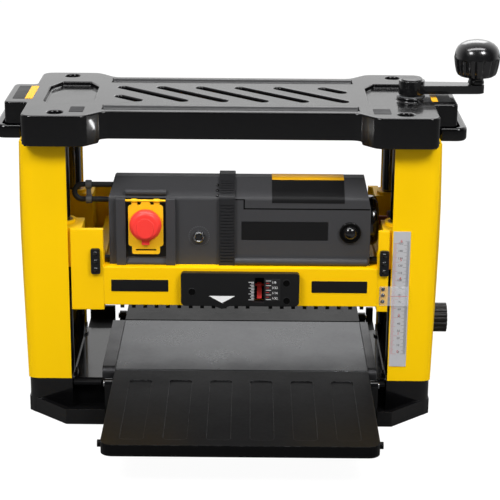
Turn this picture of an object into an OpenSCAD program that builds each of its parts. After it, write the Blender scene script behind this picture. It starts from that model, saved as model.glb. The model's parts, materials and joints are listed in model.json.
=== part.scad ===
// Benchtop thickness planer: a cutter carriage on four posts, folding tables and a crank on top.
// The origin is the centre of the bench bolts, on the bench. X runs right, Y runs back, Z runs up.

/* [Bed] */
// Width of the bed plate between its rails
bed_w = 336; // [316:1:340]
// Distance of the bed's middle to the right of the machine's middle
bed_offset = 16; // [12:1:18]
// Depth of the bed plate
bed_d = 188; // [176:1:192]
// Height of the bed's surface above the bench
bed_z = 58; // [56:0.5:64]
// Thickness of the bed plate
bed_t = 3; // [2:0.5:4]
// Width of the left bed rail
left_rail_w = 17; // [12:0.5:20]
// Width of the right bed rail
right_rail_w = 11; // [8:0.5:14]
// Height of the rails above the bed
rail_rise = 2; // [1:0.5:3]
// Radius of the rails' rounded ends
rail_end_r = 9; // [4:0.5:12]

/* [Base] */
// Reach of the base beyond the columns at each end
base_lip_x = 0.5; // [0:0.5:10]
// Reach of the base beyond the table hinges
base_lip_y = 7; // [5:0.5:16]
// Corner cut of the base along X
corner_cut_x = 53; // [40:1:60]
// Corner cut of the base along Y
corner_cut_y = 47; // [35:1:56]
// Height of the rim round the feet
rim_h = 21; // [17:0.5:26]
// Thickness of the rim
rim_t = 7; // [5:0.5:9]
// Height of the rim under the tables
low_rim_h = 12; // [10:0.5:14]
// Thickness of the base's floor
floor_t = 8; // [6:0.5:10]
// Height of the pedestals under the columns
pedestal_h = 50; // [48:0.5:54]
// Height of the ledges beside the bed
ledge_h = 46; // [43:0.5:47]
// Wall thickness of the casting
casting_t = 7; // [5:0.5:9]
// Thickness of the casting's roofs
roof_t = 12; // [9:0.5:14]
// Distance of the bench bolts inside the columns
bench_inset_x = 24.5; // [18:0.5:32]
// Distance of the bench bolts from the base's front
bench_inset_y = 22; // [19:0.5:26]
// Diameter of the bench bolt holes
bench_hole_d = 9; // [7:0.5:11]

/* [Tables] */
// Length of each table
table_l = 234; // [200:1:260]
// Sheet thickness of the tables
table_t = 2.5; // [1.5:0.5:3.5]
// Height of the tables' skirts
table_skirt = 15; // [13:0.5:18]
// Corner radius at the tables' outer ends
table_corner_r = 14; // [8:1:20]
// Gap between the bed plate and each table
table_gap = 1; // [0.8:0.1:2]
// Distance of the hinge from the table's inner edge
hinge_inset = 33; // [30:0.5:34]
// Depth of the hinge under the table's surface
hinge_drop = 6; // [5.5:0.5:7]
// Diameter of the table hinge pins
hinge_pin_d = 8; // [6:0.5:9]
// Thickness of the hinge ears
ear_t = 10; // [7:0.5:12]
// Radius of the hinge ears round the pins
ear_r = 7; // [6:0.5:8]
// Number of pressed ribs on each table
rib_count = 6; // [4:1:7]
// Width of a pressed rib
rib_w = 29; // [20:1:34]
// Distance between the middles of two ribs
rib_pitch = 52.5; // [46:0.5:53]
// Length of a pressed rib
rib_l = 184; // [140:1:190]
// Depth of a pressed rib
rib_depth = 1; // [0.5:0.1:1.2]
// Distance of the bumpers from the table's end
bumper_inset = 21; // [16:1:30]
// Diameter of the side bumpers
bumper_d = 9; // [6:0.5:11]
// Length of the side bumpers
bumper_l = 4.5; // [3:0.5:6]

/* [Columns] */
// Distance of the columns beyond the bed's half width
column_side = 40.5; // [39:0.5:43]
// Width of a column cover at its foot
column_w = 57; // [55:0.5:62]
// How much wider a column cover is at its bulge
column_bulge = 5.5; // [0:0.5:8]
// Taper of the column from its bulge up
column_taper = 3; // [0:0.5:5]
// Height of the bulge
bulge_z = 268; // [220:1:310]
// Reach of the columns beyond the bed along Y
column_proud = 12; // [9:0.5:14]
// Outer corner radius of the column covers
column_r = 18; // [10:0.5:22]
// Sheet thickness of the column covers
sheet_t = 2.5; // [1.5:0.5:3.5]
// Reach of the column's top flange beyond the column
flange_lip = 15; // [13:0.5:16]

/* [Guides] */
// Diameter of the guide posts
post_d = 18; // [16:0.5:20]
// Distance of the posts inside the columns
post_inset = 8.5; // [7:0.5:10]
// Distance of the posts inside the columns' faces
post_setback = 34; // [31:0.5:37]
// Depth of the posts in their sockets
socket_depth = 28; // [20:1:34]
// Diameter of the lead screws
screw_d = 16; // [14:0.5:18]
// Diameter of the lead screws' journals
journal_d = 12; // [10:0.5:13]
// Distance of the screws inside the columns
screw_inset = 27.5; // [25:0.5:29]
// Wall of the bushes
bush_t = 3; // [2:0.5:4]
// Radial clearance of shafts that turn or slide
running_gap = 0.08; // [0.05:0.01:0.1]
// Radius of the lift chain's sprockets
lift_sprocket_r = 17; // [14:0.5:18]
// Teeth of the lift chain's sprockets
lift_teeth = 14; // [10:1:18]
// Thickness of the chains
chain_t = 3; // [2:0.5:4]
// Width of the chains
chain_w = 6; // [4:0.5:7]
// Height of the lift chain above the bench
lift_chain_z = 12; // [10:0.5:16]

/* [Top cover] */
// Height of the top cover's surface
top_z = 411; // [404:1:420]
// Height of the top cover's ends
end_h = 40; // [38:0.5:44]
// Height of the top cover's middle
middle_h = 36; // [32:0.5:38]
// Setback of the cover's ends on the columns
cover_setback = 6; // [2:0.5:12]
// Reach of the cover's ends beyond the columns' faces
end_proud = 23; // [21:0.5:26]
// Distance of the narrow middle from the columns
middle_setback = 48.5; // [40:0.5:58]
// Depth of the waist on each side of the cover
waist = 27; // [24:0.5:31]
// Length of the cover's shoulders
shoulder_x = 24; // [16:1:30]
// Thickness of the top over the middle
middle_roof_t = 8; // [6:0.5:9]
// Thickness of the top over the ends
end_roof_t = 13; // [12:0.5:15]
// Wall of the top cover
cover_t = 6; // [4:0.5:8]
// Corner radius of the top cover's ends
cover_corner_r = 14; // [8:1:20]
// Distance of the top bolts into the columns
bolt_inset_x = 11.5; // [9:0.5:14.5]
// Distance of the top bolts from the cover's front
bolt_inset_y = 21; // [19:0.5:23]
// Thread diameter of the top bolts
bolt_d = 8; // [6:0.5:9]
// Width of the recess round each bolt head
bolt_recess_d = 20; // [17:0.5:22]
// Depth of the recess round each bolt head
bolt_recess_h = 9; // [8:0.5:10]
// Length of the octagonal recesses along X
oct_x = 64; // [58:1:66]
// Length of the octagonal recesses along Y
oct_y = 138; // [120:1:146]
// Corner cut of the octagonal recesses
oct_cut = 26; // [14:1:30]
// Depth of the octagonal recesses
oct_depth = 6; // [3:0.5:7]
// Number of full slots
slot_count = 5; // [4:1:5]
// Width of the slots
slot_w = 13; // [9:0.5:15]
// Distance of the slots from the middle's ends
slot_margin = 14.5; // [8:0.5:20]
// Reach of a slot along X
slot_run = 83; // [70:1:86]
// Reach of a slot along Y
slot_depth = 76; // [60:1:80]

/* [Carry handles] */
// Reach of the handle block beyond the cover's end
handle_reach = 30; // [24:0.5:34]
// Length of the handle block
handle_l = 108; // [96:1:116]
// Reach of the grip beyond the handle block
grip_reach = 13; // [10:0.5:20]
// Reach of the grip beyond the handle block's ends
grip_lip = 6; // [5:0.5:10]
// Height of the grip
grip_h = 18; // [14:0.5:22]
// Lap of the grip over the cover's edge
grip_lap = 11; // [6:0.5:14]

/* [Return rollers] */
// Radius of the stock-return rollers
return_r = 10; // [8:0.5:11]
// Distance of the return rollers from the waist
return_inset = 22; // [20:0.5:25]
// Reach of the return rollers beyond the middle
return_reach = 1; // [-10:0.5:3]
// Height of the return rollers above the cover
return_rise = 3; // [2:0.5:4]
// Gap round the return rollers
return_gap = 1.5; // [1:0.1:2]

/* [Crank] */
// Length of the crank from hub to knob
crank_l = 84; // [78:1:92]
// Radius of the crank's hub
hub_r = 17; // [14:0.5:18]
// Height of the crank's hub
hub_h = 18; // [15:0.5:22]
// Gap between the top cover and the crank's hub
hub_gap = 3; // [2:0.5:4]
// Thickness of the crank's arm
arm_t = 11; // [8:0.5:13]
// Radius of the arm's outer end
arm_end_r = 11; // [9:0.5:12]
// Radius of the crank's knob
knob_r = 30; // [24:0.5:32]
// Height of the crank's knob without its neck
knob_h = 41; // [34:0.5:44]
// Height of the knob's neck
knob_neck_h = 17; // [12:0.5:20]
// Number of flutes on the knob
flute_count = 14; // [10:1:16]
// Diameter of the knob's pin
knob_pin_d = 9; // [7:0.5:10]

/* [Carriage] */
// Cutting height above the bed as drawn
cut_height = 90; // [80:1:100]
// Gap between the carriage and the columns
carriage_gap = 3.5; // [2.5:0.5:4]
// Reach of the carriage before the columns
front_proud = 2; // [1.5:0.5:4]
// Thickness of the carriage's side plates
side_t = 14; // [12:0.5:15]
// Distance of the left side plate from the bed
left_side_gap = 11; // [10:0.5:13]
// Distance of the right side plate from the bed
right_side_gap = 7; // [5:0.5:8]
// Height of the side plates
side_h = 64; // [62:0.5:66]
// Height of the carriage's corner walls
corner_h = 109; // [104:0.5:114]
// Thickness of the carriage's front and rear walls
front_t = 8; // [6:0.5:9]
// Height of the crossbars over the cutting height
bar_rise = 7; // [5:0.5:9]
// Height of the crossbars
bar_h = 51; // [49:0.5:53]
// Width of the crossbars' top flanges
bar_flange = 20; // [14:0.5:22]
// Thickness of the motor deck
deck_t = 6; // [4.5:0.5:7]
// Radius of the bosses round the posts
post_boss_r = 16; // [15:0.5:17]
// Length of the bosses round the posts
post_boss_h = 57; // [45:0.5:60]
// Radius of the lift nuts' bosses
nut_boss_r = 15; // [14:0.5:16]
// Height of the bridge that carries the lift nut
bridge_h = 30; // [24:0.5:34]
// Width of the bridge that carries the lift nut
bridge_w = 11; // [8:0.5:12]

/* [Cutter and feed] */
// Radius of the cutting circle
cutter_r = 24.5; // [23:0.5:25.5]
// Radius of the cutterhead's body
head_r = 22; // [20:0.5:22.5]
// Number of knives
knife_count = 2; // [2:1:3]
// Thickness of a knife
knife_t = 3; // [2:0.5:4]
// Width of a knife's slot
knife_slot_w = 10; // [8:0.5:12]
// Height of a knife slot's floor over the axis
knife_slot_z = 9; // [8:0.5:11]
// Diameter of the cutterhead's journals
head_journal_d = 15; // [12:0.5:16]
// Radius of the cutterhead's bearings
bearing_r = 16; // [14:0.5:17]
// Radius of the feed rollers
roller_r = 19; // [17:0.5:20]
// Radius of the feed rollers' steel cores
roller_core_r = 12; // [9:0.5:14]
// Distance of the feed rollers inside the bed's edges
roller_inset = 32; // [30:0.5:35]
// Reach of the feed rollers below the cutter
roller_drop = 0.5; // [0.2:0.1:1]
// Diameter of the feed rollers' journals
roller_journal_d = 12; // [9:0.5:13]
// Radius of the feed rollers' sprockets
feed_sprocket_r = 15; // [13.5:0.5:15]
// Teeth of the feed rollers' sprockets
feed_teeth = 12; // [9:1:16]
// Thickness of the feed gearbox
gearbox_t = 13; // [10:0.5:14]
// Wall of the feed gearbox round its shafts
gearbox_wall = 14; // [10:0.5:15]
// Radius of the cutterhead's pulley
head_pulley_r = 18; // [15:0.5:18]
// Radius of the motor's pulley
motor_pulley_r = 10; // [8:0.5:11]
// Width of the drive belt
belt_w = 9; // [7:0.5:10]
// Thickness of the drive belt
belt_t = 2.5; // [1.5:0.5:3]
// Number of anti-kickback pawls
pawl_count = 22; // [14:1:24]
// Thickness of a pawl
pawl_t = 5; // [4:0.5:7]
// Length of a pawl
pawl_l = 22; // [18:0.5:24]
// Diameter of the pawls' rod
pawl_rod_d = 8; // [6:0.5:9]
// Height of the chip hood
hood_h = 44; // [36:0.5:50]
// Reach of the chip hood behind the carriage
hood_reach = 10; // [6:0.5:14]

/* [Motor] */
// Distance of the motor behind the cover's front
motor_setback = 53; // [50:0.5:56]
// Height of the motor's axis over the motor deck
motor_rise = 46; // [43:0.5:48]
// Radius of the motor's stator
stator_r = 40; // [36:0.5:41]
// Length of the motor's stator
stator_l = 130; // [110:1:134]
// Radius of the motor's armature
armature_r = 24; // [20:0.5:26]
// Diameter of the motor's shaft
shaft_d = 12; // [9:0.5:13]
// Radius of the motor's end bell
bell_r = 33; // [28:0.5:34]
// Length of the end bell's shoulder
bell_shoulder = 10; // [8:0.5:12]
// Depth of the end bell inside the cover
bell_inset = 32; // [28:0.5:36]
// Reach of the end bell past the motor cover
bell_reach = 13; // [10:0.5:14]

/* [Motor cover] */
// Gap at the motor cover's left end
cover_left_gap = 7; // [5:0.5:9]
// Gap at the motor cover's right end
cover_right_gap = 10; // [8:0.5:12]
// Setback of the motor cover's front
cover_front_gap = 15; // [14:0.5:18]
// Depth of the motor cover
cover_d = 112; // [108:0.5:113]
// Height of the cover's split over the deck
split_h = 90; // [84:0.5:94]
// Drop of the split on the right
split_drop = 14; // [8:0.5:18]
// Distance from the strap to the split's step
split_off = 22; // [16:0.5:34]
// Height of the motor cover over the deck
crest_h = 109; // [104:0.5:112]
// Depth of the slope at the cover's front
slope_d = 32; // [24:0.5:36]
// Depth of the crest's flat top
crest_d = 18; // [12:0.5:26]
// Wall of the motor cover
shell_t = 3; // [2:0.5:4]
// Lean of the lid's ends towards the crest
lid_lean = 7; // [3:0.5:9]
// Depth of the bare panel beside the strap
panel_depth = 0.8; // [0.4:0.1:1.2]
// Height of the bare panel
panel_h = 26; // [20:0.5:30]
// Radius of the roll along the cover's lower edge
roll_r = 5; // [4:0.5:6]
// Width of the ribbed strap
strap_w = 20.5; // [16:0.5:24]
// Distance from the switch to the strap
strap_off = 104.5; // [96:0.5:112]
// How far the strap stands proud of the cover
strap_t = 4; // [3:0.5:5]
// Distance between two grooves of the strap
strap_pitch = 4.2; // [3.4:0.1:6]
// Radius of the brush caps
brush_cap_r = 14; // [11:0.5:15]
// Distance of the brush cap from the cover's right end
brush_inset = 26; // [23:0.5:31]
// Diameter of the tie rod
tie_rod_d = 9; // [7:0.5:10]
// Width of the rod brackets
bracket_w = 12; // [10:0.5:13]
// Height of the rod brackets
bracket_h = 34; // [28:0.5:36]
// Thickness of the rod brackets
bracket_t = 4; // [3:0.5:5]

/* [Switch] */
// Distance of the switch from the cover's left end
switch_inset = 47.5; // [44:0.5:52]
// Width of the switch's window
switch_w = 52; // [48:0.5:54]
// Height of the switch's window
switch_h = 79.5; // [73:0.5:80]
// Depth of the switch body
switch_depth = 40; // [30:0.5:44]
// Height of the switch's lower edge over the deck
switch_rise = 10; // [9:0.5:12]
// Width of the strips beside the switch
strip_w = 12; // [9:0.5:14]
// How far the strips stand proud of the cover
strip_t = 6; // [5:0.5:7]
// Width of the switch's flap
flap_w = 45; // [42:0.5:47]
// Height of the switch's flap
flap_h = 72; // [64:0.5:73]
// Thickness of the switch's flap
flap_t = 3; // [2:0.5:4]
// Height of the flap's hinge tabs below the pin
tab_h = 6; // [5:0.5:8]
// Width of a hinge tab
tab_w = 7.5; // [6:0.5:9]
// Height of the pull under the flap
pull_h = 10.5; // [9:0.5:12]
// Distance of the pull from the flap's sides
pull_inset = 4.5; // [3:0.5:8]
// Radius of the red stop paddle
paddle_r = 20.5; // [17:0.5:21]
// Height of the red stop paddle over the flap
paddle_h = 11.5; // [8:0.5:12]
// Radius of the arch on the paddle
arch_r = 11; // [8:0.5:12]
// Travel of the switch's buttons
button_travel = 2.5; // [2:0.1:3]
// Radius of the start and stop buttons
button_r = 7; // [6:0.5:8]
// Distance from the switch to the breaker
breaker_off = 68.5; // [62:0.5:75]
// Height of the breaker over the deck
breaker_rise = 38.5; // [30:0.5:50]
// Radius of the breaker's collar
breaker_r = 6.5; // [5:0.5:8]

/* [Gauge] */
// Reach of the gauge left of the bed's middle
gauge_left = 79; // [70:0.5:90]
// Width of the gauge
gauge_w = 153; // [140:0.5:170]
// Height of the gauge
gauge_h = 45; // [42:0.5:46]
// Thickness of the gauge's bezel
gauge_t = 8; // [7:0.5:9]
// Distance of the gauge's slot right of the bed's middle
slot_right = 22.5; // [18:0.5:28]
// Width of the gauge's slot
gauge_slot_w = 11.5; // [10:0.5:13]
// Length of the gauge's pointer
pointer_l = 20; // [17:0.5:20.5]
// Distance of the gauge's foot left of the bed's middle
foot_left = 26; // [22:0.5:30]
// Travel of the gauge's foot
foot_travel = 4; // [3:0.5:5]
// Width of the scale plate on the right column
scale_w = 22; // [18:0.5:26]
// Height of the scale plate
scale_h = 186; // [170:1:190]
// Height of the scale plate's lower end
scale_z = 71; // [66:1:78]
// Thickness of the scale plate
scale_t = 0.6; // [0.4:0.1:1]
// Height of the indicator window
window_h = 26; // [22:0.5:30]

/* [Depth stop] */
// Radius of the depth-stop knob
stop_r = 19.5; // [16:0.5:21]
// Length of the depth-stop knob
stop_l = 22; // [18:0.5:24]
// Distance of the depth stop before the middle
stop_y = 40; // [34:0.5:42]
// Height of the depth-stop's axis
stop_z = 116; // [104:0.5:124]
// Diameter of the depth stop's shaft
stop_shaft_d = 12; // [9:0.5:13]

/* [Hidden] */
$fn = 48;
arc_steps = 6;
cut = 1;
seat_gap = 0.3;
boss_t = 5;
socket_floor = 4;
socket_z = pedestal_h - socket_depth;

column_gap = bed_w + 2 * column_side;
column_d = bed_d + 2 * column_proud;
in_x = column_gap / 2;
col_y = column_d / 2;
foot_x1 = in_x + column_w;
bulge_x = foot_x1 + column_bulge;
head_x = bulge_x - column_taper;
scale_x0 = in_x + 1.5;
scale_x1 = scale_x0 + scale_w;
post_x = in_x + post_inset;
post_span = column_d - 2 * post_setback;
post_y = post_span / 2;
screw_x = in_x + screw_inset;

bed_x0 = bed_offset - bed_w / 2;
bed_x1 = bed_offset + bed_w / 2;
bed_y = bed_d / 2;
bed_box_y = bed_y - bed_t;
ledge_y = bed_y - bed_t / 2;
hinge_y = bed_y + table_gap + hinge_inset;
hinge_z = bed_z - hinge_drop;
ear_gap = 0.5;
base_w = 2 * (foot_x1 + base_lip_x);
base_d = 2 * (hinge_y + ear_r + base_lip_y);
bench_span_x = column_gap - 2 * bench_inset_x;
bench_span_y = base_d - 2 * bench_inset_y;

cover_end_x = head_x - cover_setback;
end_d = column_d + 2 * end_proud;
end_y = end_d / 2;
middle_x = in_x - middle_setback;
middle_d = end_d - 2 * waist;
middle_y = middle_d / 2;
shoulder_r = 18;
handle_x = cover_end_x + handle_reach;
handle_r = 8;
handle_y = handle_l / 2;
grip_x = handle_x + grip_reach;
grip_l = handle_l + 2 * grip_lip;
grip_y = grip_l / 2;
bolt_span_x = column_gap + 2 * bolt_inset_x;
bolt_span_y = end_d - 2 * bolt_inset_y;
bolt_x = bolt_span_x / 2;
bolt_y = bolt_span_y / 2;
return_span = middle_d - 2 * return_inset;
return_l = 2 * (middle_x + return_reach);
return_y = return_span / 2;
return_x = return_l / 2;
return_journal_r = 3;
return_journal_l = 8;
slot_pitch = (2 * (middle_x - slot_margin) - slot_run) / (slot_count - 1);
flange_d = column_d + 2 * flange_lip;
flange_y = flange_d / 2;
cover_z0 = top_z - end_h;
middle_z0 = top_z - middle_h;
flange_z = cover_z0;
grip_in_x = head_x + 0.6;
hollow_x = grip_in_x + 4;
end_roof_z = top_z - end_roof_t;
post_z1 = end_roof_z + 2;
middle_roof_z = top_z - middle_roof_t;
oct_z = top_z - oct_depth;
hub_z = top_z + hub_gap;
arm_z = hub_z + 2;
knob_z = arm_z + arm_t + 0.6;
return_z = top_z + return_rise - return_r;

cut_z = bed_z + cut_height;
head_z = cut_z + cutter_r;
roller_z = cut_z - roller_drop + roller_r;
roller_span = bed_d - 2 * roller_inset;
roller_y = roller_span / 2;
front_y = col_y + front_proud;
wall_y = front_y - front_t;
carriage_x = in_x - carriage_gap;
left_in = bed_x0 - left_side_gap;
left_out = left_in - side_t;
right_in = bed_x1 + right_side_gap;
right_out = right_in + side_t;
bar_z0 = cut_z + bar_rise;
deck_z = bar_z0 + bar_h;
side_z1 = cut_z + side_h;
corner_z1 = cut_z + corner_h;
boss_z1 = corner_z1 + 4;
boss_z0 = boss_z1 - post_boss_h;
bridge_z0 = boss_z0 + 14;
bridge_x = post_x + post_boss_r - bridge_w;

chain_x1 = left_out - 2;
chain_x0 = chain_x1 - chain_w;
gearbox_x1 = chain_x0 - 1;
gearbox_x0 = gearbox_x1 - gearbox_t;
belt_x0 = right_out + 1.5;
belt_x1 = belt_x0 + belt_w;
motor_z = deck_z + motor_rise;

cover_x0 = left_in + cover_left_gap;
cover_x1 = right_in - cover_right_gap;
cover_y0 = cover_front_gap - front_y;
cover_y1 = cover_y0 + cover_d;
motor_y = -cover_y0 - motor_setback;
switch_x = cover_x0 + switch_inset;
breaker_x = switch_x + breaker_off;
strap_x = switch_x + strap_off;
split_x = strap_x + split_off;
brush_x = cover_x1 - brush_inset;
split_z = deck_z + split_h;
crest_z = deck_z + crest_h;
stator_x1 = cover_x1 - bell_inset;
stator_x0 = stator_x1 - stator_l;
bell_x1 = cover_x1 + bell_reach;
roll_z = deck_z + roll_r;
tie_y = cover_y0 + 8;
tie_z = deck_z + tie_rod_d / 2 + 0.5;

switch_x0 = switch_x - switch_w / 2;
switch_x1 = switch_x + switch_w / 2;
switch_z0 = deck_z + switch_rise;
switch_z1 = switch_z0 + switch_h;
flap_y1 = cover_y0 - 1.5;
flap_y0 = flap_y1 - flap_t;
flap_pin_r = 1.5;
sill_t = 3.5;
header_r = 4;
flap_barrel_r = 2.5;
flap_axis_y = flap_y1 - flap_barrel_r;
flap_axis_z = switch_z1 - flap_barrel_r;
flap_z0 = flap_axis_z - flap_h;
paddle_z = flap_axis_z - 31;
stop_button_z = paddle_z - 9;
start_button_z = paddle_z + 13;
breaker_z = deck_z + breaker_rise;

gauge_x0 = bed_offset - gauge_left;
gauge_x1 = gauge_x0 + gauge_w;
gauge_slot_x = bed_offset + slot_right;
foot_x = bed_offset - foot_left;
gauge_y0 = -front_y - gauge_t;
gauge_z0 = bar_z0 + 2;
gauge_z1 = gauge_z0 + gauge_h;
pointer_y = -wall_y + 5;
pointer_z = gauge_z0 + gauge_h / 2;
pointer_t = 6;
pointer_pin_r = 1.5;
pointer_angle = 45;
lug_t = 3;
low_bush_z = pedestal_h - roof_t - 6;
foot_w = 30;
pawl_hub_r = 7;
pawl_y = pawl_hub_r + 1 - wall_y;
pawl_z = cut_z + 20;

lead_d = 7;
lead_y = cover_y0 + 32;
lead_high_z = crest_z - 11;
lead_low_z = crest_z - 31;
lead_turn_x = left_out - 16;
lead_turns = 8;

// Points of the arc that rounds corner b between a and c
function corner_arc(a, b, c, r) =
  let (u = (a - b) / norm(a - b), v = (c - b) / norm(c - b))
  let (half = acos(u * v) / 2, middle = b + (u + v) / norm(u + v) * r / sin(half))
  let (from = b + u * r / tan(half) - middle, to = b + v * r / tan(half) - middle)
  let (start = atan2(from.y, from.x), sweep = atan2(to.y, to.x) - start)
  let (turn = sweep > 180 ? sweep - 360 : sweep < -180 ? sweep + 360 : sweep)
  [for (i = [0 : arc_steps]) let (t = start + turn * i / arc_steps) middle + r * [cos(t), sin(t)]];

// An outline whose corners are rounded, each with its own radius
function rounded(points, radii) =
  let (n = len(points))
  [for (i = [0 : n - 1]) each (radii[i] > 0
    ? corner_arc(points[(i + n - 1) % n], points[i], points[(i + 1) % n], radii[i])
    : [points[i]])];

// A rectangle with one corner radius
function rounded_box(lo, hi, r) = rounded([lo, [hi.x, lo.y], hi, [lo.x, hi.y]], [r, r, r, r]);

module box(lo, hi) {
  translate(lo) cube(hi - lo);
}
module rod_x(x0, x1, y, z, r) {
  translate([x0, y, z]) rotate([0, 90, 0]) cylinder(h = x1 - x0, r = r);
}
module rod_y(y0, y1, x, z, r) {
  translate([x, y1, z]) rotate([90, 0, 0]) cylinder(h = y1 - y0, r = r);
}
module rod_z(z0, z1, x, y, r) {
  translate([x, y, z0]) cylinder(h = z1 - z0, r = r);
}
module slab(z0, z1) {
  translate([0, 0, z0]) linear_extrude(z1 - z0) children();
}
// Extrudes a (Y, Z) profile along X
module along_x(x0, x1) {
  translate([x0, 0, 0]) rotate([90, 0, 90]) linear_extrude(x1 - x0) children();
}
// Extrudes an (X, Z) profile along Y
module along_y(y0, y1) {
  translate([0, y1, 0]) rotate([90, 0, 0]) linear_extrude(y1 - y0) children();
}
module both_x() {
  children();
  mirror([1, 0, 0]) children();
}
module both_y() {
  children();
  mirror([0, 1, 0]) children();
}
// A flat slot with round ends between two points
module slot(a, b, w) {
  across = atan2(b.y - a.y, b.x - a.x) - 90;
  steps = 2 * arc_steps;
  polygon([for (end = [0, 1], i = [0 : steps])
    let (t = across + 180 * (end + i / steps)) (end == 0 ? b : a) + w / 2 * [cos(t), sin(t)]]);
}
// A toothed disc in the plane of the drawing
module sprocket_disc(r, teeth) {
  root = r - 2.5;
  step = 360 / teeth;
  polygon([for (i = [0 : teeth - 1]) each [
    root * [cos(step * i), sin(step * i)],
    root * [cos(step * (i + 0.3)), sin(step * (i + 0.3))],
    r * [cos(step * (i + 0.5)), sin(step * (i + 0.5))],
    r * [cos(step * (i + 0.8)), sin(step * (i + 0.8))]]]);
}
// A closed loop round two equal wheels at a and b
module loop_band(a, b, r, t) {
  difference() {
    slot(a, b, 2 * (r + t));
    slot(a, b, 2 * r);
  }
}

// Base

function base_outline(inset) =
  let (x = base_w / 2, y = base_d / 2, l = norm([corner_cut_x, corner_cut_y]))
  let (ys = y - corner_cut_y - inset * (l - corner_cut_y) / corner_cut_x)
  let (xf = x - corner_cut_x - inset * (l - corner_cut_x) / corner_cut_y)
  [[x - inset, -ys], [x - inset, ys], [xf, y - inset], [-xf, y - inset],
   [inset - x, ys], [inset - x, -ys], [-xf, inset - y], [xf, inset - y]];

module table_ear(x0, x1) {
  both_y() along_x(x0, x1) {
    translate([hinge_y - ear_r, 0]) square([2 * ear_r, hinge_z]);
    translate([hinge_y, hinge_z]) circle(r = ear_r);
  }
}

module base_casting() {
  bay_x = in_x - casting_t;
  side_x0 = in_x + casting_t / 2;
  color("#161616") difference() {
    union() {
      difference() {
        union() {
          slab(0, floor_t) polygon(base_outline(0));
          difference() {
            slab(0, rim_h) polygon(base_outline(0));
            slab(-cut, rim_h + cut) polygon(base_outline(rim_t));
            both_y() box([bed_x0 - ear_t, base_d / 2 - rim_t - cut, low_rim_h],
              [bed_x1 + ear_t, base_d / 2 + cut, rim_h + cut]);
          }
          both_x() slab(0, pedestal_h) polygon(rounded(
            [[in_x - cut, -col_y], [foot_x1, -col_y], [foot_x1, col_y], [in_x - cut, col_y]],
            [0, column_r, column_r, 0]));
          box([-in_x, -ledge_y, 0], [in_x, ledge_y, ledge_h]);
          box([bed_x0, -bed_box_y, 0], [bed_x1, bed_box_y, bed_z - bed_t]);
          table_ear(bed_x0 - ear_gap - ear_t, bed_x0 - ear_gap);
          table_ear(bed_x1 + ear_gap, bed_x1 + ear_gap + ear_t);
        }
        box([-bay_x, casting_t - ledge_y, -cut], [bay_x, ledge_y - casting_t, ledge_h - roof_t]);
        both_x() box([side_x0, casting_t - col_y, -cut],
          [foot_x1 - casting_t, col_y - casting_t, pedestal_h - roof_t]);
        both_x() box([bay_x - cut, -lift_sprocket_r - 2 * chain_t - cut, -cut],
          [side_x0 + cut, lift_sprocket_r + 2 * chain_t + cut, lift_chain_z + 2 * chain_w]);
      }
      both_x() both_y() rod_z(socket_z - socket_floor, pedestal_h - cut, post_x, post_y, post_d / 2 + boss_t);
      both_x() rod_z(low_bush_z, pedestal_h - cut, screw_x, 0, journal_d / 2 + bush_t + boss_t);
    }
    both_x() both_y() rod_z(socket_z, pedestal_h + cut, post_x, post_y, post_d / 2);
    both_x() rod_z(-cut, pedestal_h + cut, screw_x, 0, journal_d / 2 + bush_t);
    both_x() both_y() rod_z(-cut, floor_t + cut, bench_span_x / 2, bench_span_y / 2,
        bench_hole_d / 2);
    both_y() rod_x(bed_x0 - ear_gap - ear_t - cut, bed_x1 + ear_gap + ear_t + cut, hinge_y, hinge_z,
      hinge_pin_d / 2);
  }
}

module bed_plate() {
  color("#5c5e60") along_x(bed_x0, bed_x1) difference() {
    polygon(rounded([[-bed_y, ledge_h], [bed_y, ledge_h], [bed_y, bed_z], [-bed_y, bed_z]],
      [0, 0, bed_t, bed_t]));
    translate([-bed_box_y, ledge_h - cut]) square([2 * bed_box_y, bed_z - bed_t - ledge_h + cut]);
  }
}

module bed_rails() {
  z1 = bed_z + rail_rise;
  rail = rounded([[-bed_y, ledge_h], [bed_y, ledge_h], [bed_y, z1], [-bed_y, z1]],
    [0, 0, rail_end_r, rail_end_r]);
  color("#8d9092") {
    along_x(bed_x0 - left_rail_w, bed_x0) polygon(rail);
    along_x(bed_x1, bed_x1 + right_rail_w) polygon(rail);
  }
}

module guide_posts() {
  color("#7d7f82") both_x() both_y() rod_z(socket_z, post_z1, post_x, post_y, post_d / 2);
}

module lift_chain() {
  color("#3a3a3c") slab(lift_chain_z, lift_chain_z + chain_w)
    loop_band([-screw_x, 0], [screw_x, 0], lift_sprocket_r + seat_gap, chain_t);
}

module screw_bushes() {
  r = journal_d / 2;
  color("#b08d57") both_x() {
    difference() {
      rod_z(low_bush_z, pedestal_h, screw_x, 0, r + bush_t);
      rod_z(low_bush_z - cut, pedestal_h + cut, screw_x, 0, r + running_gap);
    }
    difference() {
      rod_z(flange_z + sheet_t, end_roof_z - 1, screw_x, 0, r + bush_t);
      rod_z(flange_z, end_roof_z, screw_x, 0, r + running_gap);
    }
  }
}

// Column cover on the right; the left one is its mirror image

function column_plan(inset) = rounded(
  [[in_x - inset, inset - col_y], [bulge_x - inset, inset - col_y],
   [bulge_x - inset, col_y - inset], [in_x - inset, col_y - inset]],
  [0, column_r - inset, column_r - inset, 0]);

function column_front(inset) = rounded(
  [[in_x - inset, pedestal_h - inset], [foot_x1 - inset, pedestal_h - inset], [bulge_x - inset, bulge_z],
   [head_x - inset, flange_z + inset], [in_x - inset, flange_z + inset]],
  [0, 0, 2 * bulge_z, 0, 0]);

module column_body(inset) {
  intersection() {
    slab(pedestal_h - inset, flange_z + inset) polygon(column_plan(inset));
    along_y(-col_y, col_y) polygon(column_front(inset));
  }
}

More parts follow.
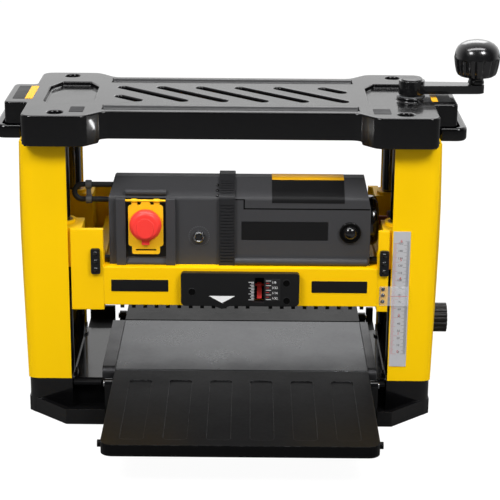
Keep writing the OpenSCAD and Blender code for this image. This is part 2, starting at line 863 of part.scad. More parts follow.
module column_cover() {
  difference() {
    union() {
      difference() {
        column_body(0);
        column_body(sheet_t);
      }
      slab(flange_z, flange_z + sheet_t) polygon(rounded_box([in_x, -flange_y],
        [cover_end_x - cover_t - 2, flange_y], cover_corner_r / 2));
    }
    both_y() rod_z(flange_z - cut, flange_z + sheet_t + cut, post_x, post_y, post_d / 2 + seat_gap);
    both_y() rod_z(flange_z - cut, flange_z + sheet_t + cut, bolt_x, bolt_y, bolt_d / 2);
    rod_z(flange_z - cut, flange_z + sheet_t + cut, screw_x, 0, screw_d / 2 + 1);
  }
}

module left_column_cover() {
  color("#ffcc00") mirror([1, 0, 0]) column_cover();
}

module right_column_cover() {
  color("#ffcc00") difference() {
    column_cover();
    rod_x(foot_x1 - 2 * column_r, bulge_x + cut, -stop_y, stop_z,
      stop_shaft_d / 2 + running_gap);
  }
}

module scale_plate() {
  color("#cfcfd2") box([scale_x0, -col_y - scale_t, scale_z], [scale_x1, -col_y, scale_z + scale_h]);
}

// Top cover

function cover_outline() =
  let (right = [[middle_x, -middle_y], [middle_x + shoulder_x, -end_y], [cover_end_x, -end_y],
    [cover_end_x, -handle_y], [handle_x, -handle_y], [handle_x, handle_y],
    [cover_end_x, handle_y], [cover_end_x, end_y], [middle_x + shoulder_x, end_y], [middle_x, middle_y]])
  let (inner_r = 5, half = [shoulder_r, shoulder_r, cover_corner_r, inner_r, handle_r])
  let (radii = concat(half, [for (i = [4 : -1 : 0]) half[i]]))
  rounded(concat(right, [for (p = right) -p]), concat(radii, radii));

// The hollow of a carry handle, seen from above
function handle_hollow() =
  rounded_box([hollow_x, cover_t - handle_y], [handle_x - cover_t, handle_y - cover_t], 5);

module return_slots() {
  r = return_r + return_gap;
  x = return_x + return_gap;
  both_y() box([-x, return_y - r, return_z - r - cut], [x, return_y + r, top_z + cut]);
}

module slots() {
  first_x = slot_margin - middle_x;
  y = slot_depth / 2;
  short_y = y - 16;
  short_x = short_y * slot_run / slot_depth;
  slab(middle_roof_z - cut, top_z + cut) {
    for (i = [0 : slot_count - 1]) let (x = first_x + slot_pitch * i)
      slot([x, y], [x + slot_run, -y], slot_w);
    slot([first_x, short_y - y], [first_x + short_x, -y], slot_w);
    slot([-first_x - short_x, y], [-first_x, y - short_y], slot_w);
  }
}

module top_cover() {
  end_x0 = middle_x + shoulder_x + cover_t;
  journal_x = return_x + return_journal_l + 1;
  journal_r = return_journal_r;
  lug_r = 2 * return_journal_r;
  boss_z0 = flange_z + sheet_t;
  boss_z1 = end_roof_z + cut;
  z0 = cover_z0 - cut;
  color("#141414") difference() {
    union() {
      difference() {
        slab(cover_z0, top_z) polygon(cover_outline());
        box([-middle_x - cover_t, -end_d, z0], [middle_x + cover_t, end_d, middle_z0]);
        box([-end_x0, cover_t - middle_y, z0], [end_x0, middle_y - cover_t, middle_roof_z]);
        both_x() box([end_x0 - cut, cover_t - end_y, z0],
          [cover_end_x - cover_t, end_y - cover_t, end_roof_z]);
        both_x() slab(z0, top_z - cover_t) polygon(handle_hollow());
      }
      both_x() both_y() rod_z(boss_z0, boss_z1, post_x, post_y, post_d / 2 + boss_t);
      both_x() both_y() rod_z(boss_z0, boss_z1, bolt_x, bolt_y, bolt_d / 2 + boss_t);
      both_x() rod_z(boss_z0, boss_z1, screw_x, 0, journal_d / 2 + bush_t + boss_t - 1);
      both_x() both_y() box([return_x + 2 * return_gap, return_y - lug_r, return_z - lug_r],
        [end_x0 + cut, return_y + lug_r, middle_roof_z + cut]);
    }
    both_x() both_y() rod_z(flange_z, post_z1, post_x, post_y, post_d / 2);
    both_x() both_y() rod_z(flange_z, top_z + cut, bolt_x, bolt_y, bolt_d / 2 + seat_gap);
    both_x() both_y() rod_z(top_z - bolt_recess_h, top_z + cut, bolt_x, bolt_y, bolt_recess_d / 2);
    both_x() rod_z(flange_z, end_roof_z - 1, screw_x, 0, journal_d / 2 + bush_t);
    rod_z(flange_z, top_z + cut, screw_x, 0, journal_d / 2 + seat_gap);
    rod_z(flange_z, post_z1, -screw_x, 0, journal_d / 2 + seat_gap);
    difference() {
      both_x() slab(oct_z, top_z + cut) polygon(oct_outline());
      rod_z(oct_z - cut, top_z + 2 * cut, screw_x, 0, hub_r + 2);
    }
    slots();
    return_slots();
    both_y() rod_x(-journal_x, journal_x, return_y, return_z, journal_r + running_gap);
  }
}

function oct_outline() =
  let (x0 = screw_x + 6 - oct_x, x1 = screw_x + 6, y = oct_y / 2)
  [[x0 + oct_cut / 2, -y], [x1 - oct_cut / 2, -y], [x1, -y + oct_cut], [x1, y - oct_cut],
   [x1 - oct_cut / 2, y], [x0 + oct_cut / 2, y], [x0, y - oct_cut], [x0, -y + oct_cut]];

module return_roller(side) {
  y = side * return_y;
  end_x = return_x + return_journal_l;
  color("#2b2b2d") {
    rod_x(-return_x, return_x, y, return_z, return_r);
    rod_x(-end_x, end_x, y, return_z, return_journal_r);
  }
}
module front_return_roller() {
  return_roller(-1);
}
module rear_return_roller() {
  return_roller(1);
}

module handle_grip() {
  z1 = cover_z0 + grip_lap;
  difference() {
    slab(z1 - grip_h, z1) polygon(rounded(
      [[grip_in_x, -grip_y], [grip_x, -grip_y], [grip_x, grip_y], [grip_in_x, grip_y]],
      [0, handle_r + grip_lip, handle_r + grip_lip, 0]));
    slab(cover_z0, z1 + cut) polygon(rounded(
      [[cover_end_x, -handle_y], [handle_x, -handle_y], [handle_x, handle_y], [cover_end_x, handle_y]],
      [0, handle_r, handle_r, 0]));
    slab(z1 - grip_h - cut, cover_z0 + cut) polygon(handle_hollow());
  }
}
module handle_grips() {
  color("#262626") both_x() handle_grip();
}

// Crank and lead screws

module lead_screw(top) {
  rod_z(pedestal_h + seat_gap, flange_z - 2, screw_x, 0, screw_d / 2);
  rod_z(lift_chain_z, pedestal_h + cut, screw_x, 0, journal_d / 2);
  rod_z(flange_z - 2 - cut, top, screw_x, 0, journal_d / 2);
  slab(lift_chain_z, lift_chain_z + chain_w) translate([screw_x, 0])
    sprocket_disc(lift_sprocket_r, lift_teeth);
}
module right_lead_screw() {
  color("#85878a") lead_screw(hub_z + hub_h - 5);
}
module left_lead_screw() {
  color("#85878a") mirror([1, 0, 0]) lead_screw(end_roof_z + 1);
}

module crank_arm() {
  end_x = screw_x + crank_l;
  color("#171717") difference() {
    union() {
      rod_z(hub_z, hub_z + hub_h, screw_x, 0, hub_r);
      rod_z(hub_z, hub_z + hub_h + 1.2, screw_x, 0, hub_r - 3);
      slab(arm_z, arm_z + arm_t) {
        polygon([[screw_x, 0.85 * hub_r], [screw_x, -0.85 * hub_r],
          [end_x, -arm_end_r], [end_x, arm_end_r]]);
        translate([end_x, 0]) circle(r = arm_end_r);
      }
      rod_z(arm_z, knob_z + knob_neck_h + knob_h - 8, end_x, 0, knob_pin_d / 2);
    }
    rod_z(hub_z - cut, hub_z + hub_h - 5, screw_x, 0, journal_d / 2);
  }
}

module crank_knob() {
  x = screw_x + crank_l;
  mid_z = knob_neck_h + 0.45 * knob_h;
  top = knob_neck_h + knob_h;
  profile = rounded([[0, 0], [11, 0], [8, knob_neck_h - 4], [16, knob_neck_h],
    [knob_r - 5, knob_neck_h + 1], [knob_r, mid_z], [knob_r - 6, top - 2], [0, top]],
    [0, 1, 4, 4, 4, 9, 10, 0]);
  color("#1c1c1c") translate([x, 0, knob_z]) difference() {
    rotate_extrude() polygon(profile);
    translate([0, 0, -cut]) cylinder(h = top - 8 + cut + seat_gap, r = knob_pin_d / 2 + running_gap);
    for (i = [0 : flute_count - 1]) rotate(i * 360 / flute_count)
      translate([knob_r + 2, 0, knob_neck_h - cut]) cylinder(h = 0.5 * knob_h, r = 4.2);
  }
}

// Carriage sides: each is a plate with corner walls, post bosses and the lift nut's bridge

module carriage_bosses(arm_in) {
  both_y() rod_z(boss_z0, boss_z1, post_x, post_y, post_boss_r);
  both_y() box([arm_in, post_y - post_boss_r, boss_z0], [post_x, wall_y + cut, corner_z1]);
  box([bridge_x, -post_y, bridge_z0], [bridge_x + bridge_w, post_y, bridge_z0 + bridge_h]);
  rod_z(bridge_z0 - 4, bridge_z0 + bridge_h + 4, screw_x, 0, nut_boss_r);
}
module carriage_bores() {
  both_y() rod_z(boss_z0 - cut, boss_z1 + cut, post_x, post_y, post_d / 2 + bush_t);
  rod_z(bridge_z0 - 5, bridge_z0 + bridge_h + 5, screw_x, 0, screw_d / 2 + bush_t);
}
// Bores for the cutterhead, the feed rollers, the pawl rod and the tie rod
module side_bores(x0, x1) {
  rod_x(x0, x1, 0, head_z, bearing_r);
  both_y() rod_x(x0, x1, roller_y, roller_z, roller_journal_d / 2 + bush_t);
  rod_x(x0, x1, pawl_y, pawl_z, pawl_rod_d / 2 + running_gap);
  rod_x(x0, x1, tie_y, tie_z, tie_rod_d / 2);
}
module carriage_side(plate_in, plate_out, arm_in) {
  difference() {
    union() {
      along_x(plate_in, plate_out) polygon(rounded(
        [[-front_y + cut, cut_z], [front_y - cut, cut_z],
         [front_y - cut, side_z1], [-front_y + cut, side_z1]], [0, 0, 6, 6]));
      box([plate_in, -wall_y - cut, cut_z], [plate_out, tie_y + tie_rod_d, side_z1 + 10]);
      both_y() box([plate_in, wall_y, cut_z], [carriage_x, front_y, corner_z1]);
      carriage_bosses(arm_in);
    }
    carriage_bores();
  }
}
module left_carriage_side() {
  color("#ffcc00") difference() {
    mirror([1, 0, 0]) carriage_side(-left_in, -left_out, carriage_x - side_t);
    side_bores(left_out - cut, left_in + cut);
  }
}
module right_carriage_side() {
  color("#ffcc00") difference() {
    carriage_side(right_in, right_out, bell_x1 + 3);
    side_bores(right_in - cut, right_out + cut);
  }
}

module crossbar() {
  box([left_in, -front_y, bar_z0], [right_in, -wall_y, deck_z]);
  box([left_in, -front_y, deck_z - deck_t], [right_in, bar_flange - front_y, deck_z]);
}
module front_crossbar() {
  half_w = gauge_slot_w / 2 + lug_t + 2;
  color("#ffcc00") difference() {
    crossbar();
    box([gauge_slot_x - half_w, -front_y - cut, gauge_z0 + 4],
      [gauge_slot_x + half_w, -wall_y + cut, gauge_z1 - 6]);
  }
}
module rear_crossbar() {
  color("#ffcc00") mirror([0, 1, 0]) crossbar();
}

module motor_deck() {
  y = front_y - bar_flange;
  color("#d9ae00") difference() {
    box([left_in, -y, deck_z - deck_t], [right_in, y, deck_z]);
    box([bed_x0, head_r + 4, deck_z - deck_t - cut], [bed_x1 - 4, roller_y - 4, deck_z + cut]);
  }
}

module post_bushes() {
  color("#b08d57") both_x() both_y() difference() {
    rod_z(boss_z0, boss_z1, post_x, post_y, post_d / 2 + bush_t);
    rod_z(boss_z0 - cut, boss_z1 + cut, post_x, post_y, post_d / 2 + running_gap);
  }
}
module lift_nuts() {
  color("#b08d57") both_x() difference() {
    rod_z(bridge_z0 - 4, bridge_z0 + bridge_h + 4, screw_x, 0, screw_d / 2 + bush_t);
    rod_z(bridge_z0 - 5, bridge_z0 + bridge_h + 5, screw_x, 0, screw_d / 2 + running_gap);
  }
}

// Cutterhead

// Turns a shape at the top of the cutterhead to each knife's place
module at_knives() {
  translate([0, 0, head_z]) for (i = [0 : knife_count - 1])
    rotate([20 + i * 360 / knife_count, 0, 0]) children();
}
// The cutterhead holds each knife in a slot, with a lower gib bar beside it
module cutterhead() {
  knife_y = knife_slot_w / 2 - knife_t;
  color("#8f9194") difference() {
    union() {
      rod_x(left_in + 4, right_in - 4, 0, head_z, head_r);
      rod_x(gearbox_x0 + 3, belt_x1 + 2, 0, head_z, head_journal_d / 2);
      pulley(0, head_z, head_pulley_r);
    }
    at_knives() box([left_in, knife_y, knife_slot_z], [right_in, knife_slot_w / 2, head_r + cut]);
    at_knives() box([left_in, -knife_slot_w / 2, head_r - 2.5], [right_in, knife_y + cut, head_r + cut]);
  }
}
module knives() {
  y1 = knife_slot_w / 2;
  y0 = y1 - knife_t;
  tip_z = sqrt(cutter_r * cutter_r - y0 * y0);
  color("#c8cacc") at_knives() along_x(left_in + 8, right_in - 8)
    polygon([[y0, knife_slot_z], [y1, knife_slot_z], [y1, tip_z - knife_t], [y0, tip_z]]);
}
module pulley(y, z, r) {
  rod_x(belt_x0, belt_x1, y, z, r);
  rod_x(belt_x0, belt_x0 + 0.8, y, z, r + belt_t);
}
module carriage_bearings() {
  r = roller_journal_d / 2;
  color("#a8aaad") for (x = [left_out, right_in]) {
    difference() {
      rod_x(x + 1, x + side_t - 1, 0, head_z, bearing_r);
      rod_x(x, x + side_t, 0, head_z, head_journal_d / 2 + running_gap);
    }
    both_y() difference() {
      rod_x(x, x + side_t, roller_y, roller_z, r + bush_t);
      rod_x(x - cut, x + side_t + cut, roller_y, roller_z, r + running_gap);
    }
  }
}
module belt_loop(extra) {
  hull() {
    translate([0, head_z]) circle(r = head_pulley_r + extra, $fn = 32);
    translate([-motor_y, motor_z]) circle(r = motor_pulley_r + extra, $fn = 32);
  }
}
module drive_belt() {
  color("#1b1b1b") along_x(belt_x0 + 1.2, belt_x1) difference() {
    belt_loop(seat_gap + belt_t);
    belt_loop(seat_gap);
  }
}

// Feed

// A rubber roller on its steel core, with the chain's sprocket on the left
module feed_roller(side, x0) {
  y = side * roller_y;
  rod_x(bed_x0 - 2, bed_x1, y, roller_z, roller_r);
  rod_x(left_in + 3, right_in - 3, y, roller_z, roller_core_r);
  rod_x(x0, right_out, y, roller_z, roller_journal_d / 2);
  along_x(chain_x0, chain_x1) translate([y, roller_z]) sprocket_disc(feed_sprocket_r, feed_teeth);
}
module infeed_roller() {
  color("#3a3a3a") feed_roller(-1, chain_x0);
}
module outfeed_roller() {
  color("#3a3a3a") feed_roller(1, gearbox_x0 + 3);
}
module feed_chain() {
  color("#3a3a3c") along_x(chain_x0, chain_x1)
    loop_band([-roller_y, roller_z], [roller_y, roller_z], feed_sprocket_r + seat_gap, chain_t);
}
module feed_gearbox() {
  lug_y = roller_y / 2;
  lug_z = roller_z + feed_sprocket_r + chain_t + 8;
  color("#3f4143") difference() {
    union() {
      along_x(gearbox_x0, gearbox_x1) {
        slot([0, head_z], [roller_y, roller_z], 2 * gearbox_wall);
        slot([lug_y, head_z], [lug_y, lug_z], gearbox_wall);
      }
      rod_x(gearbox_x1 - cut, left_out, lug_y, lug_z, gearbox_wall / 2);
    }
    rod_x(gearbox_x0 + 3, gearbox_x1 + cut, 0, head_z, head_journal_d / 2 + running_gap);
    rod_x(gearbox_x0 + 3, gearbox_x1 + cut, roller_y, roller_z, roller_journal_d / 2 + running_gap);
  }
}

module kickback_pawls() {
  pitch = (bed_w - 8) / pawl_count;
  clear = gauge_slot_w / 2 + lug_t + pawl_t + 1;
  color("#74767a") {
    rod_x(left_out, right_out, pawl_y, pawl_z, pawl_rod_d / 2);
    for (i = [0 : pawl_count - 1]) {
      x = bed_x0 + 4 + pitch * (i + 0.5);
      if (abs(x - gauge_slot_x) > clear) along_x(x - pawl_t / 2, x + pawl_t / 2)
        translate([pawl_y, pawl_z]) {
          circle(r = pawl_hub_r);
          polygon([[-pawl_hub_r, 0], [-3, -pawl_l], [1.5, 3 - pawl_l], [3, 0]]);
        }
    }
  }
}

module chip_hood() {
  y0 = cover_y1 + 2;
  y1 = front_y + hood_reach;
  z1 = deck_z + hood_h;
  slope_y = 0.4 * hood_h;
  slope_z = 0.32 * hood_h;
  outer = [[y0, deck_z], [y1, deck_z], [y1, z1], [y0 + slope_y, z1], [y0, z1 - slope_z]];
  inner = [[y0 + shell_t, deck_z - cut], [roller_y - 2, deck_z - cut], [roller_y - 2, deck_z + shell_t],
    [y1 + cut, deck_z + shell_t], [y1 + cut, z1 - shell_t], [y0 + slope_y + shell_t / 2, z1 - shell_t],
    [y0 + shell_t, z1 - slope_z - shell_t / 2]];
  color("#1e1e20") difference() {
    along_x(bed_x0 - 4, bed_x1) polygon(outer);
    along_x(bed_x0 - 4 + shell_t, bed_x1 - shell_t) polygon(inner);
  }
}

// Motor

module motor_stator() {
  color("#6d6f72") difference() {
    union() {
      rod_x(stator_x0, stator_x1, -motor_y, motor_z, stator_r);
      box([stator_x0 + 10, -motor_y - stator_r / 2, deck_z],
        [stator_x1 - 10, -motor_y + stator_r / 2, motor_z]);
    }
    rod_x(stator_x0 + 6, stator_x1 + cut, -motor_y, motor_z, armature_r + 1.5);
    rod_x(stator_x0 - cut, stator_x0 + 7, -motor_y, motor_z, shaft_d / 2 + running_gap);
  }
}
module motor_armature() {
  color("#9b6a3c") {
    rod_x(stator_x0 - 6, belt_x1 + 1, -motor_y, motor_z, shaft_d / 2);
    rod_x(stator_x0 + 18, stator_x1 - 32, -motor_y, motor_z, armature_r);
    rod_x(stator_x1 - 26, stator_x1 - 6, -motor_y, motor_z, armature_r * 0.6);
    pulley(-motor_y, motor_z, motor_pulley_r);
  }
}
module motor_end_bell() {
  color("#111111") difference() {
    translate([stator_x1, -motor_y, motor_z]) rotate([0, 90, 0]) rotate_extrude() polygon(rounded(
      [[0, 0], [stator_r, 0], [stator_r, 0.6 * bell_shoulder], [bell_r, bell_shoulder],
       [bell_r, bell_x1 - stator_x1], [0, bell_x1 - stator_x1]], [0, 0, 0, 0, bell_r / 4, 0]));
    rod_x(stator_x1 - cut, bell_x1 + cut, -motor_y, motor_z, shaft_d / 2 + running_gap);
  }
}

// Motor cover: one shell, split into a lower cover and a lid

function cover_profile(grow) =
  let (z0 = grow < 0 ? deck_z - cut : deck_z)
  rounded([[cover_y0 - grow, z0], [cover_y1 + grow, z0], [cover_y1 + grow, split_z + grow * 0.6],
    [cover_y0 + slope_d + crest_d, crest_z + grow], [cover_y0 + slope_d, crest_z + grow],
    [cover_y0 - grow, split_z + grow * 0.6]], [0, 0, 6, 10, 14, 6]);

// The cover seen from the front: the lid's ends lean towards the crest
function cover_front(inset) =
  [[cover_x0 + inset, deck_z - 2 * cut], [cover_x1 - inset, deck_z - 2 * cut],
   [cover_x1 - inset, split_z - split_drop], [cover_x1 - lid_lean - inset, crest_z],
   [cover_x0 + lid_lean + inset, crest_z], [cover_x0 + inset, split_z]];

module cover_body(inset) {
  intersection() {
    along_x(cover_x0, cover_x1) polygon(cover_profile(-inset));
    along_y(cover_y0 - cut, cover_y1 + cut) polygon(cover_front(inset));
  }
}
module cover_shell() {
  difference() {
    cover_body(0);
    cover_body(shell_t);
  }
}
module lower_region() {
  x0 = cover_x0 - cut;
  x1 = cover_x1 + cut;
  z0 = deck_z - cut;
  low_z = split_z - split_drop;
  along_y(cover_y0 - 2 * cut, cover_y1 + 2 * cut) polygon(rounded(
    [[x0, z0], [x1, z0], [x1, low_z], [split_x, low_z], [split_x - split_drop, split_z], [x0, split_z]],
    [0, 0, 0, 8, 8, 0]));
}
module motor_cover() {
  strip_x = switch_x0 - strip_w;
  y1 = cover_y0 + 2 * shell_t;
  color("#3a3a3c") difference() {
    union() {
      intersection() {
        cover_shell();
        lower_region();
      }
      difference() {
        rod_x(strap_x + strap_w / 2, cover_x1 - shell_t, cover_y0 - 1, roll_z, roll_r);
        box([strap_x, cover_y0 + shell_t / 2, deck_z - cut], [cover_x1, 0, split_z]);
      }
      for (x = [strip_x, switch_x1]) along_x(x, x + strip_w) polygon(rounded_box(
        [cover_y0 - strip_t, deck_z], [cover_y0 + shell_t / 2, split_z], 1.5));
      along_x(switch_x0 - cut, switch_x1 + cut) polygon(rounded(
        [[cover_y0 + shell_t / 2, deck_z], [cover_y0 - sill_t, deck_z],
         [cover_y0 - sill_t, switch_z0 - 2 * sill_t], [cover_y0 + shell_t / 2, switch_z0]],
        [0, 1.5, 1.5, 0]));
      rod_y(cover_y0 - 3, y1, breaker_x, breaker_z, breaker_r);
    }
    box([switch_x0, cover_y0 - cut, switch_z0], [switch_x1, y1, switch_z1]);
    rod_x(switch_x0 - 5, switch_x1 + 5, flap_axis_y, flap_axis_z, flap_pin_r + running_gap);
    box([strap_x + strap_w / 2 + 8, cover_y0 - cut, motor_z - panel_h / 2],
      [brush_x - 2 * brush_cap_r, cover_y0 + panel_depth, motor_z + panel_h / 2]);
    rod_y(cover_y0 - 4, y1 + cut, breaker_x, breaker_z, breaker_r - 2);
    rod_y(cover_y0 - cut, y1, brush_x, motor_z - 1, brush_cap_r - 4);
    rod_x(cover_x1 - 2 * shell_t, cover_x1 + cut, -motor_y, motor_z, bell_r + seat_gap);
    rod_x(cover_x0 - cut, cover_x1 + cut, tie_y, tie_z, tie_rod_d / 2);
  }
}
module motor_cover_lid() {
  color("#3a3a3c") difference() {
    union() {
      cover_shell();
      rod_x(switch_x0, switch_x1, cover_y0 + header_r, split_z + 1.5 * header_r, header_r);
    }
    lower_region();
    rod_x(cover_x0 - cut, cover_x0 + 3 * lid_lean, lead_y, lead_high_z, lead_d / 2 + seat_gap / 3);
    rod_x(cover_x1 - 2 * shell_t, cover_x1 + cut, -motor_y, motor_z, bell_r + seat_gap);
  }
}
module cover_strap() {
  x0 = strap_x - strap_w / 2;
  slope = atan2(crest_z - split_z, slope_d);
  front_grooves = floor((split_z - deck_z - 8) / strap_pitch);
  slope_grooves = floor(norm([crest_z - split_z, slope_d]) / strap_pitch) - 2;
  color("#303032") difference() {
    intersection() {
      along_x(x0, x0 + strap_w) polygon(cover_profile(strap_t));
      box([x0 - cut, cover_y0 - 2 * strap_t, deck_z], [x0 + strap_w + cut, 0, crest_z + 2 * strap_t]);
    }
    along_x(x0 - cut, x0 + strap_w + cut) polygon(cover_profile(0));
    for (i = [1 : front_grooves]) box([x0 + 1.5, cover_y0 - strap_t - cut, deck_z + strap_pitch * i],
      [x0 + strap_w - 1.5, cover_y0 - strap_t + 1.2, deck_z + strap_pitch * (i + 0.45)]);
    translate([0, cover_y0, split_z]) rotate([slope, 0, 0]) for (i = [1 : slope_grooves])
      box([x0 + 1.5, strap_pitch * i, strap_t - 1.2],
        [x0 + strap_w - 1.5, strap_pitch * (i + 0.45), strap_t + 2]);
  }
}

module tie_rod() {
  color("#2a2a2c") rod_x(left_out, right_out, tie_y, tie_z, tie_rod_d / 2);
}
module rod_brackets() {
  z0 = deck_z - 8;
  color("#2a2a2c") for (x = [left_out - 2, right_out - bracket_w])
    along_y(-front_y - bracket_t, -front_y)
      polygon(rounded_box([x, z0], [x + bracket_w, z0 + bracket_h], 2.5));
}

module brush_caps() {
  y = cover_y0;
  color("#101010") difference() {
    union() {
      rod_y(y - 3, y, brush_x, motor_z - 1, brush_cap_r);
      rod_y(y - 1, y + 2 * shell_t, brush_x, motor_z - 1, brush_cap_r - 4);
    }
    box([brush_x - brush_cap_r, y - 4, motor_z - 2], [brush_x + brush_cap_r, y - 2, motor_z]);
  }
}

module breaker_button() {
  color("#151515") rod_y(cover_y0 - 5, cover_y0 + 4, breaker_x, breaker_z, breaker_r - 2 - seat_gap);
}

module switch_body() {
  y0 = cover_y0 + 1;
  color("#202022") difference() {
    box([switch_x0, y0, switch_z0], [switch_x1, y0 + switch_depth, switch_z1]);
    for (z = [stop_button_z, start_button_z])
      rod_y(y0 - cut, y0 + 8 + button_travel, switch_x, z, button_r + seat_gap);
  }
}
module switch_button(z) {
  rod_y(cover_y0 - 0.5, cover_y0 + 7, switch_x, z, button_r);
}
module start_button() {
  color("#2f8f4e") switch_button(start_button_z);
}
module stop_button() {
  color("#c02020") switch_button(stop_button_z);
}
module switch_flap() {
  x0 = switch_x - flap_w / 2;
  x1 = switch_x + flap_w / 2;
  z0 = flap_z0 + pull_h;
  z1 = flap_axis_z - tab_h;
  color("#ffd21a") difference() {
    union() {
      along_y(flap_y0, flap_y1) {
        polygon(rounded_box([x0, z0], [x1, z1], 4));
        polygon(rounded_box([x0 + pull_inset, flap_z0], [x1 - pull_inset, z0 + tab_h], 3));
        polygon([[switch_x - tab_w, z1 - cut], [switch_x + tab_w, z1 - cut],
          [switch_x + tab_w / 2, flap_axis_z + 1], [switch_x - tab_w / 2, flap_axis_z + 1]]);
      }
      for (x = [x0 + pull_inset, x1 - pull_inset - tab_w]) {
        box([x, flap_y0, z1 - tab_h], [x + tab_w, flap_y1, flap_axis_z]);
        rod_x(x, x + tab_w, flap_axis_y, flap_axis_z, flap_barrel_r);
      }
      rod_x(switch_x0 - 4.5, switch_x1 + 4.5, flap_axis_y, flap_axis_z, flap_pin_r);
    }
    rod_y(flap_y0 - cut, flap_y1 + cut, switch_x, stop_button_z, button_r - 2 + seat_gap);
    along_y(flap_y0 - cut, flap_y1 + cut) polygon(rounded_box(
      [x0 + 2 * pull_inset, flap_z0 + 0.4 * pull_h], [x1 - 2 * pull_inset, flap_z0 + 0.65 * pull_h], 1));
  }
}
// The paddle's face carries a raised arch, and a tongue hangs from its rim
module stop_paddle() {
  profile = rounded([[0, 0], [paddle_r, 0], [paddle_r, paddle_h * 0.6], [paddle_r * 0.8, paddle_h],
    [0, paddle_h]], [0, 0, 3, 4, 0]);
  y = flap_y0 - button_travel - seat_gap;
  face_y = y - paddle_h;
  color("#ff4b41") {
    translate([switch_x, y, paddle_z]) rotate([90, 0, 0]) rotate_extrude() polygon(profile);
    along_y(face_y - 0.6, face_y + cut)
      slot([switch_x, paddle_z], [switch_x, paddle_z - 0.4 * arch_r], 2 * arch_r);
    box([switch_x - button_r + 2, y - 4, paddle_z - paddle_r - 6],
      [switch_x + button_r - 2, y, paddle_z - paddle_r + 4]);
    rod_y(y - 1, cover_y0 - 0.5 - seat_gap, switch_x, stop_button_z, button_r - 2);
  }
}

// Depth-of-cut gauge

module gauge_bezel() {
  slot_half = gauge_slot_w / 2;
  z0 = gauge_z0;
  color("#202022") difference() {
    union() {
      along_y(gauge_y0, -front_y) polygon(rounded([[gauge_x0, z0], [foot_x - 10, z0], [foot_x, z0 - 4],
        [foot_x + 10, z0], [gauge_x1, z0], [gauge_x1, gauge_z1], [gauge_x0, gauge_z1]],
        [6, 0, 2, 0, 6, 4, 4]));
      for (x = [gauge_slot_x - slot_half - lug_t, gauge_slot_x + slot_half])
        box([x, -front_y - cut, pointer_z - 4], [x + lug_t, pointer_y + 3.5, pointer_z + 4]);
    }
    box([gauge_slot_x - slot_half, gauge_y0 - cut, gauge_z0 + 6],
      [gauge_slot_x + slot_half, -front_y + cut, gauge_z1 - 6]);
    box([foot_x - foot_w / 2, gauge_y0 + gauge_t / 2, gauge_z0 - 5],
      [foot_x + foot_w / 2, -front_y + cut, gauge_z1 - 4]);
    rod_x(gauge_slot_x - slot_half - lug_t - cut, gauge_slot_x + slot_half + lug_t + cut,
      pointer_y, pointer_z, pointer_pin_r + running_gap);
  }
}
module gauge_pointer() {
  half_t = pointer_t / 2;
  half_w = gauge_slot_w / 2 + lug_t;
  color("#e0201c") translate([0, pointer_y, pointer_z]) rotate([pointer_angle, 0, 0]) {
    rod_x(gauge_slot_x - half_w, gauge_slot_x + half_w, 0, 0, pointer_pin_r);
    rod_x(gauge_slot_x - half_t, gauge_slot_x + half_t, 0, 0, 3.5);
    along_x(gauge_slot_x - half_t, gauge_slot_x + half_t)
      polygon([[0, -2.5], [0, 2.5], [-pointer_l, 0.8], [-pointer_l, -0.8]]);
  }
}
module gauge_foot() {
  y0 = gauge_y0 + gauge_t / 2 + seat_gap;
  x0 = foot_x - foot_w / 2 + seat_gap;
  x1 = foot_x + foot_w / 2 - seat_gap;
  z0 = gauge_z0 - 4;
  z1 = gauge_z1 - 5 - foot_travel;
  color("#2c2c2e") along_y(y0, -front_y - seat_gap) polygon([[x0, gauge_z0 + 2], [foot_x - 4, z0],
    [foot_x + 4, z0], [x1, gauge_z0 + 2], [x1, z1], [x0, z1]]);
}
module indicator_window() {
  color("#d8dde2") along_y(-front_y - 1.6, -front_y)
    polygon(rounded_box([right_in + 3, gauge_z0], [scale_x1, gauge_z0 + window_h], 1.5));
}

// Depth stop

// The knob outside the column turns a stepped turret inside it
module depth_stop_knob() {
  x0 = foot_x1 + column_bulge * (stop_z + stop_r - pedestal_h) / (bulge_z - pedestal_h) + 0.6;
  turret_x = foot_x1 - 20;
  steps = 6;
  grips = 18;
  color("#1c1c1c") {
    difference() {
      rod_x(x0, x0 + stop_l, -stop_y, stop_z, stop_r);
      for (i = [0 : grips - 1]) translate([0, -stop_y, stop_z]) rotate([i * 360 / grips, 0, 0])
        rod_x(x0 + 3, x0 + stop_l + cut, stop_r + 0.8, 0, 2);
    }
    rod_x(turret_x, x0 + cut, -stop_y, stop_z, stop_shaft_d / 2);
    along_x(turret_x, turret_x + 14) translate([-stop_y, stop_z]) polygon([for (i = [0 : steps - 1])
      (9 + i) * [cos(360 * i / steps), sin(360 * i / steps)]]);
  }
}

// Tables

